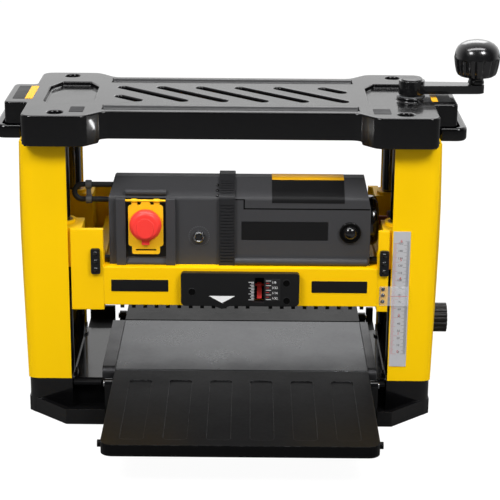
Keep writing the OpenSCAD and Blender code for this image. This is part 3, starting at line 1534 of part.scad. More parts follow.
module table_pan() {
  y0 = bed_y + table_gap;
  y1 = y0 + table_l;
  z0 = bed_z - table_skirt;
  first_x = bed_offset - rib_pitch * (rib_count - 1) / 2;
  rib_y1 = y1 - 17;
  difference() {
    union() {
      difference() {
        slab(z0, bed_z) polygon(rounded([[bed_x0, y0], [bed_x1, y0], [bed_x1, y1], [bed_x0, y1]],
          [0, 0, table_corner_r, table_corner_r]));
        slab(z0 - cut, bed_z - table_t) polygon(rounded(
          [[bed_x0 + table_t, y0 + table_t], [bed_x1 - table_t, y0 + table_t],
           [bed_x1 - table_t, y1 - table_t], [bed_x0 + table_t, y1 - table_t]],
          [0, 0, table_corner_r - table_t, table_corner_r - table_t]));
      }
      for (x = [bed_x0 - bumper_l, bed_x1 - table_t])
        rod_x(x, x + bumper_l + table_t, y1 - bumper_inset, bed_z - table_skirt / 2, bumper_d / 2);
    }
    for (i = [0 : rib_count - 1]) slab(bed_z - rib_depth, bed_z + cut)
      translate([first_x + rib_pitch * i, 0])
        polygon(rounded_box([-rib_w / 2, rib_y1 - rib_l], [rib_w / 2, rib_y1], 6));
    rod_x(bed_x0 - cut, bed_x1 + cut, hinge_y, hinge_z, hinge_pin_d / 2 + running_gap);
  }
}
module outfeed_table() {
  color("#1d1d1f") table_pan();
}
module infeed_table() {
  color("#1d1d1f") mirror([0, 1, 0]) table_pan();
}
module table_pins() {
  inner = table_t + 2;
  color("#9a9a9c") both_y() {
    rod_x(bed_x0 - ear_gap - ear_t - 2, bed_x0 + inner, hinge_y, hinge_z, hinge_pin_d / 2);
    rod_x(bed_x1 - inner, bed_x1 + ear_gap + ear_t + 2, hinge_y, hinge_z, hinge_pin_d / 2);
  }
}

// Motor lead, clipped between the cover and its clip

function lead_route() =
  let (r = (lead_high_z - lead_low_z) / 2, z = lead_low_z + r)
  concat([[cover_x0 + 2 * lid_lean, lead_high_z], [(cover_x0 + lead_turn_x) / 2, lead_high_z]],
    [for (i = [0 : lead_turns]) let (a = 180 * i / lead_turns)
      [lead_turn_x - r * sin(a), z + r * cos(a)]],
    [[(cover_x0 + lead_turn_x) / 2, lead_low_z], [cover_x0, lead_low_z]]);

module motor_lead() {
  route = lead_route();
  sides = 10;
  last = len(route) - 1;
  rings = [for (k = [0 : last])
    let (ahead = route[min(k + 1, last)] - route[max(k - 1, 0)], t = ahead / norm(ahead))
    for (j = [0 : sides - 1])
      let (a = 360 * j / sides, p = route[k] + lead_d / 2 * cos(a) * [-t.y, t.x])
      [p.x, lead_y + lead_d / 2 * sin(a), p.y]];
  walls = [for (k = [0 : last - 1], j = [0 : sides - 1]) let (n = (j + 1) % sides)
    each [[k * sides + j, k * sides + n, (k + 1) * sides + n],
      [k * sides + j, (k + 1) * sides + n, (k + 1) * sides + j]]];
  ends = [[for (j = [sides - 1 : -1 : 0]) j], [for (j = [0 : sides - 1]) last * sides + j]];
  color("#1b1b1b") polyhedron(rings, concat(walls, ends), convexity = 4);
}
module lead_clip() {
  x0 = left_out - 9;
  x1 = left_out + 8;
  color("#77797c") difference() {
    union() {
      box([x0, lead_y - 6, lead_low_z - lead_d], [x1, lead_y + 6, lead_high_z + lead_d]);
      box([x0, lead_y - 2, corner_z1], [x0 + 6, lead_y + 6, lead_low_z]);
      box([post_boss_r + 1 - post_x, lead_y - 6, corner_z1], [x0 + 6, lead_y + 6, corner_z1 + 3]);
    }
    for (z = [lead_high_z, lead_low_z])
      rod_x(x0 - cut, x1 + cut, lead_y, z, lead_d / 2 + seat_gap / 3);
  }
}

base_casting();
bed_plate();
bed_rails();
guide_posts();
lift_chain();
screw_bushes();
left_column_cover();
right_column_cover();
scale_plate();
top_cover();
handle_grips();
table_pins();
front_return_roller();
rear_return_roller();
right_lead_screw();
crank_arm();
crank_knob();
left_lead_screw();
left_carriage_side();
right_carriage_side();
front_crossbar();
rear_crossbar();
motor_deck();
post_bushes();
lift_nuts();
cutterhead();
knives();
carriage_bearings();
drive_belt();
infeed_roller();
outfeed_roller();
feed_chain();
feed_gearbox();
kickback_pawls();
chip_hood();
motor_stator();
motor_armature();
motor_end_bell();
motor_cover();
motor_cover_lid();
cover_strap();
tie_rod();
rod_brackets();
brush_caps();
breaker_button();
switch_body();
start_button();
stop_button();
switch_flap();
stop_paddle();
gauge_bezel();
gauge_pointer();
gauge_foot();
indicator_window();
depth_stop_knob();
outfeed_table();
infeed_table();
motor_lead();
lead_clip();
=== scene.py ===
import json
import logging
import math
from dataclasses import dataclass
from enum import Enum
from typing import Callable

import bmesh
import bpy
import numpy as np
from mathutils import Matrix, Quaternion, Vector


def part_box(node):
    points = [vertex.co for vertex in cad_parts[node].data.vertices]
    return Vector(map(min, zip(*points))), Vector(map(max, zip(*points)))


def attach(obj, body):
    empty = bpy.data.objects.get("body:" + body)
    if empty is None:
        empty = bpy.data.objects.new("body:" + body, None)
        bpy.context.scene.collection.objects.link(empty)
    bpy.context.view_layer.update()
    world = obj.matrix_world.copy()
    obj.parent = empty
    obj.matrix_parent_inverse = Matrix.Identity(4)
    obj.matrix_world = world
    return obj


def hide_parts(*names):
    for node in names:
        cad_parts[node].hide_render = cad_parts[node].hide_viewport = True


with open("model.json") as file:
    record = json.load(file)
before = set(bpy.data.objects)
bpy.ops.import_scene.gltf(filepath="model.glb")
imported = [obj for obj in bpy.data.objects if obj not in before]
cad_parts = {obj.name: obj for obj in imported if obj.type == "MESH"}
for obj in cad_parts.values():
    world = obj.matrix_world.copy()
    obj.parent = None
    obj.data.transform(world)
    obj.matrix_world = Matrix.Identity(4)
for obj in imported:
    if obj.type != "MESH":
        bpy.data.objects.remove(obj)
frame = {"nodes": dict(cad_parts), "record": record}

LOG = logging.getLogger("planer")
MM = 0.001
UP = (0, 0, 1)
FORWARD = (0, -1, 0)
BODY_OF: dict[str, str] = {node: body for body, nodes in frame["record"]["behaviour"]["bodies"].items()
                           for node in nodes}
Colour = tuple[float, float, float]
Point = tuple[float, float, float]
Pair = tuple[float, float]
Placing = Callable[[np.ndarray], np.ndarray]


def linear(r: int, g: int, b: int) -> Colour:
    """Gives the linear colour of an 8-bit screen colour."""
    s = np.array([r, g, b]) / 255.0
    return tuple(float(v) for v in np.where(s <= 0.04045, s / 12.92, ((s + 0.055) / 1.055) ** 2.4))


def in_mm(*pairs: Pair) -> np.ndarray:
    """Gives pairs in metres, array (n, 2), from pairs in millimetres."""
    return np.array(pairs, float) * MM


def placed(name: str, data: bpy.types.ID) -> bpy.types.Object:
    """Makes an object of a mesh, a lamp or a camera and links it to the scene."""
    made = bpy.data.objects.new(name, data)
    bpy.context.scene.collection.objects.link(made)
    return made


class Texture(Enum):
    """Kinds of fine relief that a finish can have."""

    SMOOTH = "smooth"
    PEEL = "peel"
    LEATHER = "leather"
    BRUSHED = "brushed"
    CAST = "cast"


class Shading:
    """Helpers for shader trees, and the places of a Mix node's colour sockets."""

    FIRST, SECOND, MIXED = 6, 7, 2

    @staticmethod
    def node(tree: bpy.types.NodeTree, kind: str, values: dict | None = None,
             **settings: object) -> bpy.types.Node:
        """Adds a node to a tree.

        Args:
            tree: the tree.
            kind: the node's type, without the leading ShaderNode.
            values: fixed values of its inputs, by name or place.
            settings: its properties.

        Returns:
            The node.
        """
        made = tree.nodes.new("ShaderNode" + kind)
        for label, value in settings.items():
            setattr(made, label, value)
        for socket, value in (values or {}).items():
            made.inputs[socket].default_value = value
        return made

    @staticmethod
    def join(tree: bpy.types.NodeTree, *pairs: tuple[bpy.types.NodeSocket, bpy.types.NodeSocket]) -> None:
        """Links each pair of an output and an input."""
        for source, target in pairs:
            tree.links.new(source, target)


class NodeGroups:
    """Shader node groups that several finishes share, each built once."""

    FINE_TIMES = 14.0
    FINE_SHARE = 0.35
    NOISE_MEAN = 0.65
    ROUGH_SWING = 0.3
    EDGE_COSINES = (0.985, 0.86)
    CHIP_SCALE = 260.0
    CHIP_RANGE = (0.42, 0.62)
    BRUSH_STRETCH = (0.02, 1.0, 1.0)
    _built: dict[str, bpy.types.NodeTree] = {}

    @classmethod
    def _start(cls, name: str, inputs: dict[str, tuple[str, object]], outputs: dict[str, str]) -> tuple:
        """Starts a group with its sockets.

        Args:
            name: the group's name.
            inputs: socket name to (socket type, default).
            outputs: socket name to socket type.

        Returns:
            The tree, the sockets that bring its inputs and the sockets that take its outputs.
        """
        tree = bpy.data.node_groups.new(name, "ShaderNodeTree")
        for label, (kind, default) in inputs.items():
            socket = tree.interface.new_socket(name=label, in_out="INPUT", socket_type="NodeSocket" + kind)
            if default is not None:
                socket.default_value = default
        for label, kind in outputs.items():
            tree.interface.new_socket(name=label, in_out="OUTPUT", socket_type="NodeSocket" + kind)
        cls._built[name] = tree
        return tree, tree.nodes.new("NodeGroupInput").outputs, tree.nodes.new("NodeGroupOutput").inputs

    @classmethod
    def patina(cls) -> bpy.types.NodeTree:
        """Gives slow tone and fine speckle: two octaves of noise that shift a colour and a roughness.

        Returns:
            The group, with inputs Vector, Colour, Second Colour, Roughness, Amount and Scale and outputs Colour
            and Roughness.
        """
        if "patina" in cls._built:
            return cls._built["patina"]
        tree, start, end = cls._start(
            "patina",
            {"Vector": ("Vector", None), "Colour": ("Color", (0.5, 0.5, 0.5, 1)),
             "Second Colour": ("Color", (0.4, 0.4, 0.4, 1)), "Roughness": ("Float", 0.4),
             "Amount": ("Float", 0.3), "Scale": ("Float", 30.0)},
            {"Colour": "Color", "Roughness": "Float"})
        slow = Shading.node(tree, "TexNoise", {"Detail": 3.0})
        fine = Shading.node(tree, "TexNoise", {"Detail": 2.0})
        times = Shading.node(tree, "Math", {1: cls.FINE_TIMES}, operation="MULTIPLY")
        both = Shading.node(tree, "Math", {1: cls.FINE_SHARE}, operation="MULTIPLY_ADD")
        share = Shading.node(tree, "Math", operation="MULTIPLY")
        mix = Shading.node(tree, "Mix", data_type="RGBA")
        centred = Shading.node(tree, "Math", {1: cls.NOISE_MEAN}, operation="SUBTRACT")
        rough = Shading.node(tree, "Math", {1: cls.ROUGH_SWING}, operation="MULTIPLY_ADD")
        Shading.join(
            tree,
            (start["Vector"], slow.inputs["Vector"]), (start["Vector"], fine.inputs["Vector"]),
            (start["Scale"], slow.inputs["Scale"]), (start["Scale"], times.inputs[0]),
            (times.outputs[0], fine.inputs["Scale"]), (fine.outputs["Fac"], both.inputs[0]),
            (slow.outputs["Fac"], both.inputs[2]), (both.outputs[0], share.inputs[0]),
            (start["Amount"], share.inputs[1]), (share.outputs[0], mix.inputs["Factor"]),
            (start["Colour"], mix.inputs[Shading.FIRST]), (start["Second Colour"], mix.inputs[Shading.SECOND]),
            (both.outputs[0], centred.inputs[0]), (centred.outputs[0], rough.inputs[0]),
            (start["Roughness"], rough.inputs[2]), (mix.outputs[Shading.MIXED], end["Colour"]),
            (rough.outputs[0], end["Roughness"]))
        return tree

    @classmethod
    def edge_wear_and_highlight(cls) -> bpy.types.NodeTree:
        """Marks convex edges, for worn paint and, on the tables, a painted highlight: where a rounded normal
        leaves the true one, broken up by noise.

        Returns:
            The group, with inputs Vector, Width and Strength and output Mask.
        """
        if "edge_wear_and_highlight" in cls._built:
            return cls._built["edge_wear_and_highlight"]
        tree, start, end = cls._start(
            "edge_wear_and_highlight",
            {"Vector": ("Vector", None), "Width": ("Float", 0.001), "Strength": ("Float", 1.0)},
            {"Mask": "Float"})
        soft = Shading.node(tree, "Bevel", samples=4)
        sharp = Shading.node(tree, "NewGeometry")
        dot = Shading.node(tree, "VectorMath", operation="DOT_PRODUCT")
        turned = Shading.node(tree, "MapRange", dict(zip(("From Min", "From Max"), cls.EDGE_COSINES)))
        noise = Shading.node(tree, "TexNoise", {"Scale": cls.CHIP_SCALE, "Detail": 4.0})
        broken = Shading.node(tree, "MapRange", dict(zip(("From Min", "From Max"), cls.CHIP_RANGE)))
        product = Shading.node(tree, "Math", operation="MULTIPLY")
        scaled = Shading.node(tree, "Math", operation="MULTIPLY")
        Shading.join(
            tree,
            (start["Width"], soft.inputs["Radius"]), (soft.outputs["Normal"], dot.inputs[0]),
            (sharp.outputs["Normal"], dot.inputs[1]), (dot.outputs["Value"], turned.inputs["Value"]),
            (start["Vector"], noise.inputs["Vector"]), (noise.outputs["Fac"], broken.inputs["Value"]),
            (turned.outputs["Result"], product.inputs[0]), (broken.outputs["Result"], product.inputs[1]),
            (product.outputs[0], scaled.inputs[0]), (start["Strength"], scaled.inputs[1]),
            (scaled.outputs[0], end["Mask"]))
        return tree

    @classmethod
    def relief(cls, kind: Texture) -> bpy.types.NodeTree:
        """Gives the height of a fine relief.

        Args:
            kind: peel is slow noise, leather is smooth cells, brushed is noise drawn out along X, cast is
                coarse noise.

        Returns:
            The group, with inputs Vector and Scale and output Height.
        """
        name = "relief_" + kind.value
        if name in cls._built:
            return cls._built[name]
        tree, start, end = cls._start(name, {"Vector": ("Vector", None), "Scale": ("Float", 200.0)},
                                      {"Height": "Float"})
        if kind is Texture.LEATHER:
            grain = Shading.node(tree, "TexVoronoi", {"Smoothness": 0.6}, feature="SMOOTH_F1")
            height = grain.outputs["Distance"]
        else:
            detail = {Texture.PEEL: 1.0, Texture.BRUSHED: 3.0}.get(kind, 5.0)
            grain = Shading.node(tree, "TexNoise", {"Detail": detail})
            height = grain.outputs["Fac"]
        place = start["Vector"]
        if kind is Texture.BRUSHED:
            stretch = Shading.node(tree, "Mapping", {"Scale": cls.BRUSH_STRETCH})
            Shading.join(tree, (place, stretch.inputs["Vector"]))
            place = stretch.outputs["Vector"]
        Shading.join(tree, (place, grain.inputs["Vector"]), (start["Scale"], grain.inputs["Scale"]),
                     (height, end["Height"]))
        return tree


@dataclass(frozen=True)
class Finish:
    """A surface finish that makes its own procedural material.

    The colour drifts towards the second colour by the patina group, the relief group drives a bump, and convex
    edges show the worn colour: worn paint, and on the tables a painted highlight along the rib edges.
    """

    name: str
    slot: str
    colour: Colour
    second: Colour
    roughness: float
    metallic: float = 0.0
    specular: float = 0.5
    coat: float = 0.0
    coat_roughness: float = 0.08
    amount: float = 0.35
    scale: float = 22.0
    texture: Texture = Texture.SMOOTH
    relief_scale: float = 400.0
    relief: float = 0.0
    relief_depth: float = 0.4 * MM
    # Colour, strength and width of the edge mask: worn paint on most finishes, a painted highlight on the
    # tables.
    worn_and_highlight: Colour = (0.3, 0.3, 0.3)
    wear_and_highlight: float = 0.0
    wear_and_highlight_width: float = 1.2 * MM
    soft_edge: float = 0.0
    alpha: float = 1.0

    def material(self) -> bpy.types.Material:
        """Makes the material, or gives the one made before.

        Returns:
            The material of this finish.
        """
        made = bpy.data.materials.get("finish_" + self.name)
        if made:
            return made
        made = bpy.data.materials.new("finish_" + self.name)
        made.use_nodes = True
        tree = made.node_tree
        shader = tree.nodes["Principled BSDF"].inputs
        place = Shading.node(tree, "TexCoord").outputs["Object"]
        patina = Shading.node(
            tree, "Group",
            {"Colour": (*self.colour, 1), "Second Colour": (*self.second, 1), "Roughness": self.roughness,
             "Amount": self.amount, "Scale": self.scale},
            node_tree=NodeGroups.patina())
        colour = self.worn_and_highlight_colour(tree, place, patina.outputs["Colour"])
        Shading.join(tree, (place, patina.inputs["Vector"]), (colour, shader["Base Color"]),
                     (patina.outputs["Roughness"], shader["Roughness"]))
        for label, value in (("Metallic", self.metallic), ("Specular IOR Level", self.specular),
                             ("Coat Weight", self.coat), ("Coat Roughness", self.coat_roughness),
                             ("Alpha", self.alpha)):
            shader[label].default_value = value
        normal = self.normal(tree, place)
        if normal:
            Shading.join(tree, (normal, shader["Normal"]))
        return made

    def worn_and_highlight_colour(self, tree: bpy.types.NodeTree, place: bpy.types.NodeSocket,
                    colour: bpy.types.NodeSocket) -> bpy.types.NodeSocket:
        """Mixes the worn colour in on convex edges: worn paint, and on the tables a painted highlight.

        Args:
            tree: the material's tree.
            place: the socket of Object coordinates.
            colour: the socket of the unworn colour.

        Returns:
            The socket of the colour to use.
        """
        if self.wear_and_highlight <= 0:
            return colour
        wear_and_highlight = Shading.node(tree, "Group", {"Width": self.wear_and_highlight_width, "Strength": self.wear_and_highlight},
                            node_tree=NodeGroups.edge_wear_and_highlight())
        mix = Shading.node(tree, "Mix", {Shading.SECOND: (*self.worn_and_highlight, 1)}, data_type="RGBA")
        Shading.join(tree, (place, wear_and_highlight.inputs["Vector"]), (wear_and_highlight.outputs["Mask"], mix.inputs["Factor"]),
                     (colour, mix.inputs[Shading.FIRST]))
        return mix.outputs[Shading.MIXED]

    def normal(self, tree: bpy.types.NodeTree, place: bpy.types.NodeSocket) -> bpy.types.NodeSocket | None:
        """Rounds the edges in the shading and adds the fine relief.

        Args:
            tree: the material's tree.
            place: the socket of Object coordinates.

        Returns:
            The socket of the normal, or None for a plain finish.
        """
        normal = None
        if self.soft_edge > 0:
            normal = Shading.node(tree, "Bevel", {"Radius": self.soft_edge}, samples=4).outputs["Normal"]
        if self.relief > 0:
            grain = Shading.node(tree, "Group", {"Scale": self.relief_scale},
                                 node_tree=NodeGroups.relief(self.texture))
            bump = Shading.node(tree, "Bump", {"Strength": self.relief, "Distance": self.relief_depth})
            Shading.join(tree, (place, grain.inputs["Vector"]),
                         (grain.outputs["Height"], bump.inputs["Height"]))
            if normal:
                Shading.join(tree, (normal, bump.inputs["Normal"]))
            normal = bump.outputs["Normal"]
        return normal


BLACK_GLOSS = Finish("black_gloss", "black_moulding", linear(8, 8, 9), linear(13, 13, 14), 0.14, specular=0.26,
                     coat=0.36, coat_roughness=0.03, amount=0.5, texture=Texture.PEEL, relief_scale=260,
                     relief=0.03, worn_and_highlight=linear(46, 46, 48), wear_and_highlight=0.12)
BASE_BLACK = Finish("base_black", "black_casting", linear(8, 8, 9), linear(14, 14, 15), 0.15, specular=0.25,
                    coat=0.3, coat_roughness=0.05, amount=0.5, texture=Texture.PEEL, relief_scale=180,
                    relief=0.05, worn_and_highlight=linear(50, 50, 52), wear_and_highlight=0.12)
YELLOW = Finish("yellow", "yellow_paint", linear(255, 206, 0), linear(255, 201, 0), 0.42, specular=0.14,
                amount=0.4, texture=Texture.PEEL, relief_scale=300, relief=0.03, worn_and_highlight=linear(255, 214, 60),
                wear_and_highlight=0.25)
YELLOW_BAR = Finish("yellow_bar", "yellow_paint", linear(255, 204, 2), linear(252, 192, 0), 0.45, specular=0.14,
                    amount=0.4, texture=Texture.CAST, relief_scale=350, relief=0.06, worn_and_highlight=linear(255, 216, 70),
                    wear_and_highlight=0.3, soft_edge=1.5 * MM)
BED = Finish("bed", "bed_steel", linear(84, 85, 87), linear(62, 63, 65), 0.3, metallic=0.8, amount=0.7,
             scale=14, texture=Texture.BRUSHED, relief_scale=900, relief=0.12, worn_and_highlight=linear(150, 150, 150),
             wear_and_highlight=0.3)
RAIL = Finish("rail", "rail_alloy", linear(62, 62, 64), linear(44, 44, 46), 0.4, metallic=0.7, amount=0.6,
              texture=Texture.CAST, relief_scale=500, relief=0.2, worn_and_highlight=linear(150, 150, 150), wear_and_highlight=0.3,
              soft_edge=1 * MM)
# The light worn colour on the table's thin convex edges is a painted highlight: bright lines along the edges of
# the ribs.
TABLE = Finish("table", "table_paint", linear(11, 11, 12), linear(7, 7, 8), 0.38, specular=0.1, amount=0.6,
               scale=12, texture=Texture.LEATHER, relief_scale=900, relief=0.12, worn_and_highlight=linear(120, 120, 122),
               wear_and_highlight=0.35, wear_and_highlight_width=0.9 * MM, soft_edge=0.8 * MM)
CHARCOAL = Finish("charcoal", "dark_plastic", linear(64, 64, 66), linear(53, 53, 55), 0.48, specular=0.28,
                  amount=0.5, texture=Texture.LEATHER, relief_scale=1400, relief=0.25, worn_and_highlight=linear(74, 74, 76),
                  wear_and_highlight=0.2)
STRAP = Finish("strap", "dark_plastic", linear(36, 36, 38), linear(27, 27, 29), 0.46, specular=0.35, amount=0.5,
               texture=Texture.LEATHER, relief_scale=1400, relief=0.2, worn_and_highlight=linear(78, 78, 80), wear_and_highlight=0.35,
               wear_and_highlight_width=0.8 * MM)
PLASTIC = Finish("plastic", "dark_plastic", linear(22, 22, 23), linear(15, 15, 16), 0.4, specular=0.35,
                 amount=0.5, texture=Texture.LEATHER, relief_scale=1100, relief=0.15, worn_and_highlight=linear(60, 60, 62),
                 wear_and_highlight=0.2, soft_edge=1 * MM)
GLOSS_PLASTIC = Finish("gloss_plastic", "crank_black", linear(14, 14, 15), linear(21, 21, 22), 0.2, coat=0.6,
                       coat_roughness=0.03, amount=0.4, worn_and_highlight=linear(44, 44, 46), wear_and_highlight=0.12, soft_edge=1 * MM)
ROLLER = Finish("return_roller", "crank_black", linear(30, 30, 32), linear(22, 22, 24), 0.36, specular=0.45,
                amount=0.5)
STEEL = Finish("steel", "screw_steel", linear(168, 169, 171), linear(132, 133, 135), 0.26, metallic=1.0,
               amount=0.5, texture=Texture.BRUSHED, relief_scale=700, relief=0.06, soft_edge=0.5 * MM)
POST = Finish("post", "post_chrome", linear(118, 119, 122), linear(88, 90, 93), 0.16, metallic=1.0, amount=0.4)
DARK_STEEL = Finish("dark_steel", "dark_steel", linear(26, 26, 28), linear(38, 38, 40), 0.32, metallic=0.5,
                    amount=0.6, worn_and_highlight=linear(110, 110, 112), wear_and_highlight=0.3, soft_edge=0.8 * MM)
BRONZE = Finish("bronze", "bush_bronze", linear(176, 128, 70), linear(140, 96, 48), 0.35, metallic=1.0,
                amount=0.6)
COPPER = Finish("copper", "armature_copper", linear(170, 92, 48), linear(120, 64, 34), 0.4, metallic=0.8,
                amount=0.6)
IRON = Finish("iron", "gearbox_iron", linear(70, 71, 73), linear(50, 51, 53), 0.6, metallic=0.5, amount=0.7,
              texture=Texture.CAST, relief_scale=420, relief=0.4, worn_and_highlight=linear(120, 120, 120), wear_and_highlight=0.4)
DECK = Finish("deck", "black_casting", linear(16, 16, 17), linear(10, 10, 11), 0.5, specular=0.05, amount=0.7,
              scale=16, texture=Texture.CAST, relief_scale=300, relief=0.1, worn_and_highlight=linear(70, 70, 72), wear_and_highlight=0.2)
RUBBER = Finish("rubber", "roller_rubber", linear(26, 26, 26), linear(19, 19, 19), 0.6, specular=0.4,
                amount=0.6, texture=Texture.CAST, relief_scale=900, relief=0.2)
RED = Finish("red", "red_button", linear(255, 66, 58), linear(246, 54, 48), 0.36, specular=0.3, amount=0.4,
             worn_and_highlight=linear(255, 120, 110), wear_and_highlight=0.3, soft_edge=1 * MM)
FLAP_YELLOW = Finish("flap_yellow", "yellow_plastic", linear(255, 200, 30), linear(248, 186, 16), 0.38,
                     specular=0.25, amount=0.4, worn_and_highlight=linear(255, 226, 120), wear_and_highlight=0.35, soft_edge=0.8 * MM)
GREEN = Finish("green", "green_button", linear(40, 150, 80), linear(30, 120, 64), 0.35, coat=0.3, amount=0.4,
               soft_edge=1 * MM)
SCALE = Finish("scale", "scale_silver", linear(203, 203, 206), linear(190, 190, 194), 0.4, metallic=0.2,
               specular=0.3, amount=0.5)
WINDOW = Finish("window", "clear_window", linear(236, 238, 242), linear(226, 229, 234), 0.1, amount=0.3,
                alpha=0.2)
GREY = Finish("grey", "clip_plastic", linear(104, 105, 107), linear(82, 83, 85), 0.36, metallic=0.5, amount=0.6,
              soft_edge=0.8 * MM)
WHITE_INK = Finish("white_ink", "scale_silver", linear(244, 244, 244), linear(230, 230, 230), 0.5, amount=0.3)
BLACK_INK = Finish("black_ink", "dark_plastic", linear(24, 24, 25), linear(34, 34, 35), 0.5, amount=0.3)
RED_INK = Finish("red_ink", "red_button", linear(206, 40, 36), linear(190, 34, 30), 0.5, amount=0.3)
# Near-black matt painted shade: laid where the gauge holes, the recess round the brush caps and the lid's seam
# would be dark.
PAINTED_SHADE = Finish("painted_shade", "dark_plastic", linear(3, 3, 3), linear(7, 7, 7), 0.6, specular=0.1,
                    amount=0.3)
PLATE_BLACK = Finish("plate_black", "dark_plastic", linear(20, 20, 21), linear(26, 26, 27), 0.42, specular=0.2,
                     amount=0.4)
PLATE_GREY = Finish("plate_grey", "dark_plastic", linear(40, 40, 42), linear(32, 32, 34), 0.5, specular=0.08,
                    amount=0.4)
PLATE_YELLOW = Finish("plate_yellow", "yellow_plastic", linear(240, 178, 24), linear(226, 162, 16), 0.42,
                      specular=0.25, amount=0.4)


class Surface:
    """Meshes worked out with numpy on parameter grids."""

    MERGE = 1e-7
    ARC_STEPS = 9
    CORNER_STEPS = 7
    EDGE_OF_THICKNESS, EDGE_OF_RADIUS = 0.4, 0.5

    @staticmethod
    def grid(name: str, points: np.ndarray, closed_v: bool = False, caps: bool = False) -> bpy.types.Object:
        """Makes a mesh from a grid of points.

        Quad (i, j) joins rows i, i+1 and columns j, j+1, and wraps where the grid is closed.

        Args:
            name: the object's name.
            points: array (rows, columns, 3) in metres.
            closed_v: whether the last column joins the first.
            caps: whether the first and last rows are closed with a face.

        Returns:
            The new object.
        """
        rows, cols = points.shape[:2]
        a = np.arange(rows - 1)[:, None] * cols
        c = np.arange(cols if closed_v else cols - 1)[None, :]
        b, d = a + cols, (c + 1) % cols
        faces = np.stack([a + c, a + d, b + d, b + c], -1).reshape(-1, 4).tolist()
        if caps:
            faces += [list(range(cols))[::-1], list(range((rows - 1) * cols, rows * cols))]
        mesh = bpy.data.meshes.new(name)
        mesh.from_pydata(points.reshape(-1, 3).tolist(), [], faces)
        work = bmesh.new()
        work.from_mesh(mesh)
        bmesh.ops.remove_doubles(work, verts=work.verts, dist=Surface.MERGE)
        bmesh.ops.recalc_face_normals(work, faces=work.faces)
        work.to_mesh(mesh)
        work.free()
        return placed(name, mesh)

    @staticmethod
    def frame_of(axis: Point) -> np.ndarray:
        """Gives a right-handed frame whose third row is the axis.

        Args:
            axis: a direction.

        Returns:
            Array (3, 3) of unit rows.
        """
        w = np.array(axis, float) / np.linalg.norm(axis)
        helper = np.array([1.0, 0, 0]) if abs(w[0]) < 0.9 else np.array([0, 1.0, 0])
        u = np.cross(helper, w)
        u /= np.linalg.norm(u)
        return np.stack([u, np.cross(w, u), w])

    @staticmethod
    def turned(name: str, profile: np.ndarray, centre: Point, axis: Point,
               outline: Callable[[np.ndarray, int], np.ndarray] | None = None,
               sides: int = 40) -> bpy.types.Object:
        """Turns a profile about an axis: point (k, t) is at r_k * f(t, k) round the axis and h_k along it.

        Args:
            name: the object's name.
            profile: array (n, 2) of radius and height in metres.
            centre: where height 0 lies on the axis.
            axis: the direction of height.
            outline: an optional factor on the radius by angle and profile index.
            sides: steps round the axis.

        Returns:
            The new object.
        """
        t = np.linspace(0, 2 * np.pi, sides, endpoint=False)
        u, v, w = Surface.frame_of(axis)
        rim = np.cos(t)[:, None] * u + np.sin(t)[:, None] * v
        r = profile[:, :1] * np.ones_like(t)
        if outline:
            r = np.stack([row * outline(t, k) for k, row in enumerate(r)])
        points = np.array(centre) + r[..., None] * rim + profile[:, 1, None, None] * w
        return Surface.grid(name, points, closed_v=True)

    @staticmethod
    def swept(name: str, path: np.ndarray, radius: float, sides: int = 24) -> bpy.types.Object:
        """Sweeps a circle along a path in a plane of constant y.

        With the unit tangent t and n = (-t_z, 0, t_x), point (k, a) is path_k + r (cos a n_k + sin a e_y).

        Args:
            name: the object's name.
            path: array (n, 3) in metres.
            radius: the circle's radius.
            sides: steps round the circle.

        Returns:
            The new object.
        """
        t = np.gradient(path, axis=0)
        t /= np.linalg.norm(t, axis=1, keepdims=True)
        n = np.stack([-t[:, 2], np.zeros(len(t)), t[:, 0]], -1)
        a = np.linspace(0, 2 * np.pi, sides, endpoint=False)[None, :, None]
        points = path[:, None] + radius * (np.cos(a) * n[:, None] + np.sin(a) * np.array([0, 1.0, 0]))
        return Surface.grid(name, points, closed_v=True, caps=True)

    @staticmethod
    def profile(corners: np.ndarray, radii: tuple[float, ...], step: float) -> np.ndarray:
        """Walks along a profile in the YZ plane, upwards on its front, with rounded corners.

        With the tangent d and the outward normal n = (-d_z, d_y), the arc at a corner c is
        c - d r tan(turn / 2) - n r + r (n cos s + d sin s), for s from 0 to the turn.

        Args:
            corners: array (n, 2) of y and z in metres.
            radii: radius of each inner corner.
            step: distance between the points that are returned.

        Returns:
            Array (m, 4) of y, z and the normal's y and z at even steps.
        """
        d = np.diff(corners, axis=0)
        d /= np.linalg.norm(d, axis=1, keepdims=True)
        n = np.stack([-d[:, 1], d[:, 0]], -1)
        rows = [np.concatenate([corners[:1], n[:1]], 1)]
        for k, r in enumerate(radii):
            turn = math.acos(float(d[k] @ d[k + 1]))
            s = np.linspace(0, turn, Surface.ARC_STEPS)[:, None]
            out = np.cos(s) * n[k] + np.sin(s) * d[k]
            arc = corners[k + 1] - d[k] * r * math.tan(turn / 2) - n[k] * r + r * out
            rows.append(np.concatenate([arc, out], 1))
        rows.append(np.concatenate([corners[-1:], n[-1:]], 1))
        path = np.concatenate(rows)
        along = np.concatenate([[0], np.cumsum(np.linalg.norm(np.diff(path[:, :2], axis=0), axis=1))])
        even = np.linspace(0, along[-1], max(2, int(along[-1] / step)))
        return np.stack([np.interp(even, along, path[:, c]) for c in range(4)], -1)

    @staticmethod
    def wrapped(name: str, path: np.ndarray, across: Pair, thickness: float) -> bpy.types.Object:
        """Lays a thin plate over a profile: point (i, j) is at x_j and path_i + h n_i, with h = 0 on the rim.

        Args:
            name: the object's name.
            path: rows of a profile, as Surface.profile returns them.
            across: low and high x.
            thickness: height h of the plate over the profile.

        Returns:
            The new object.
        """
        x = np.concatenate([across[:1], np.linspace(*across, Surface.ARC_STEPS), across[1:]])
        rows = path[np.concatenate([[0], np.arange(len(path)), [len(path) - 1]])]
        h = np.pad(np.full((len(rows) - 2, len(x) - 2), thickness), 1)
        y, z, ny, nz = (rows[:, c:c + 1] for c in range(4))
        return Surface.grid(name, np.stack([np.broadcast_to(x, h.shape), y + h * ny, z + h * nz], -1))

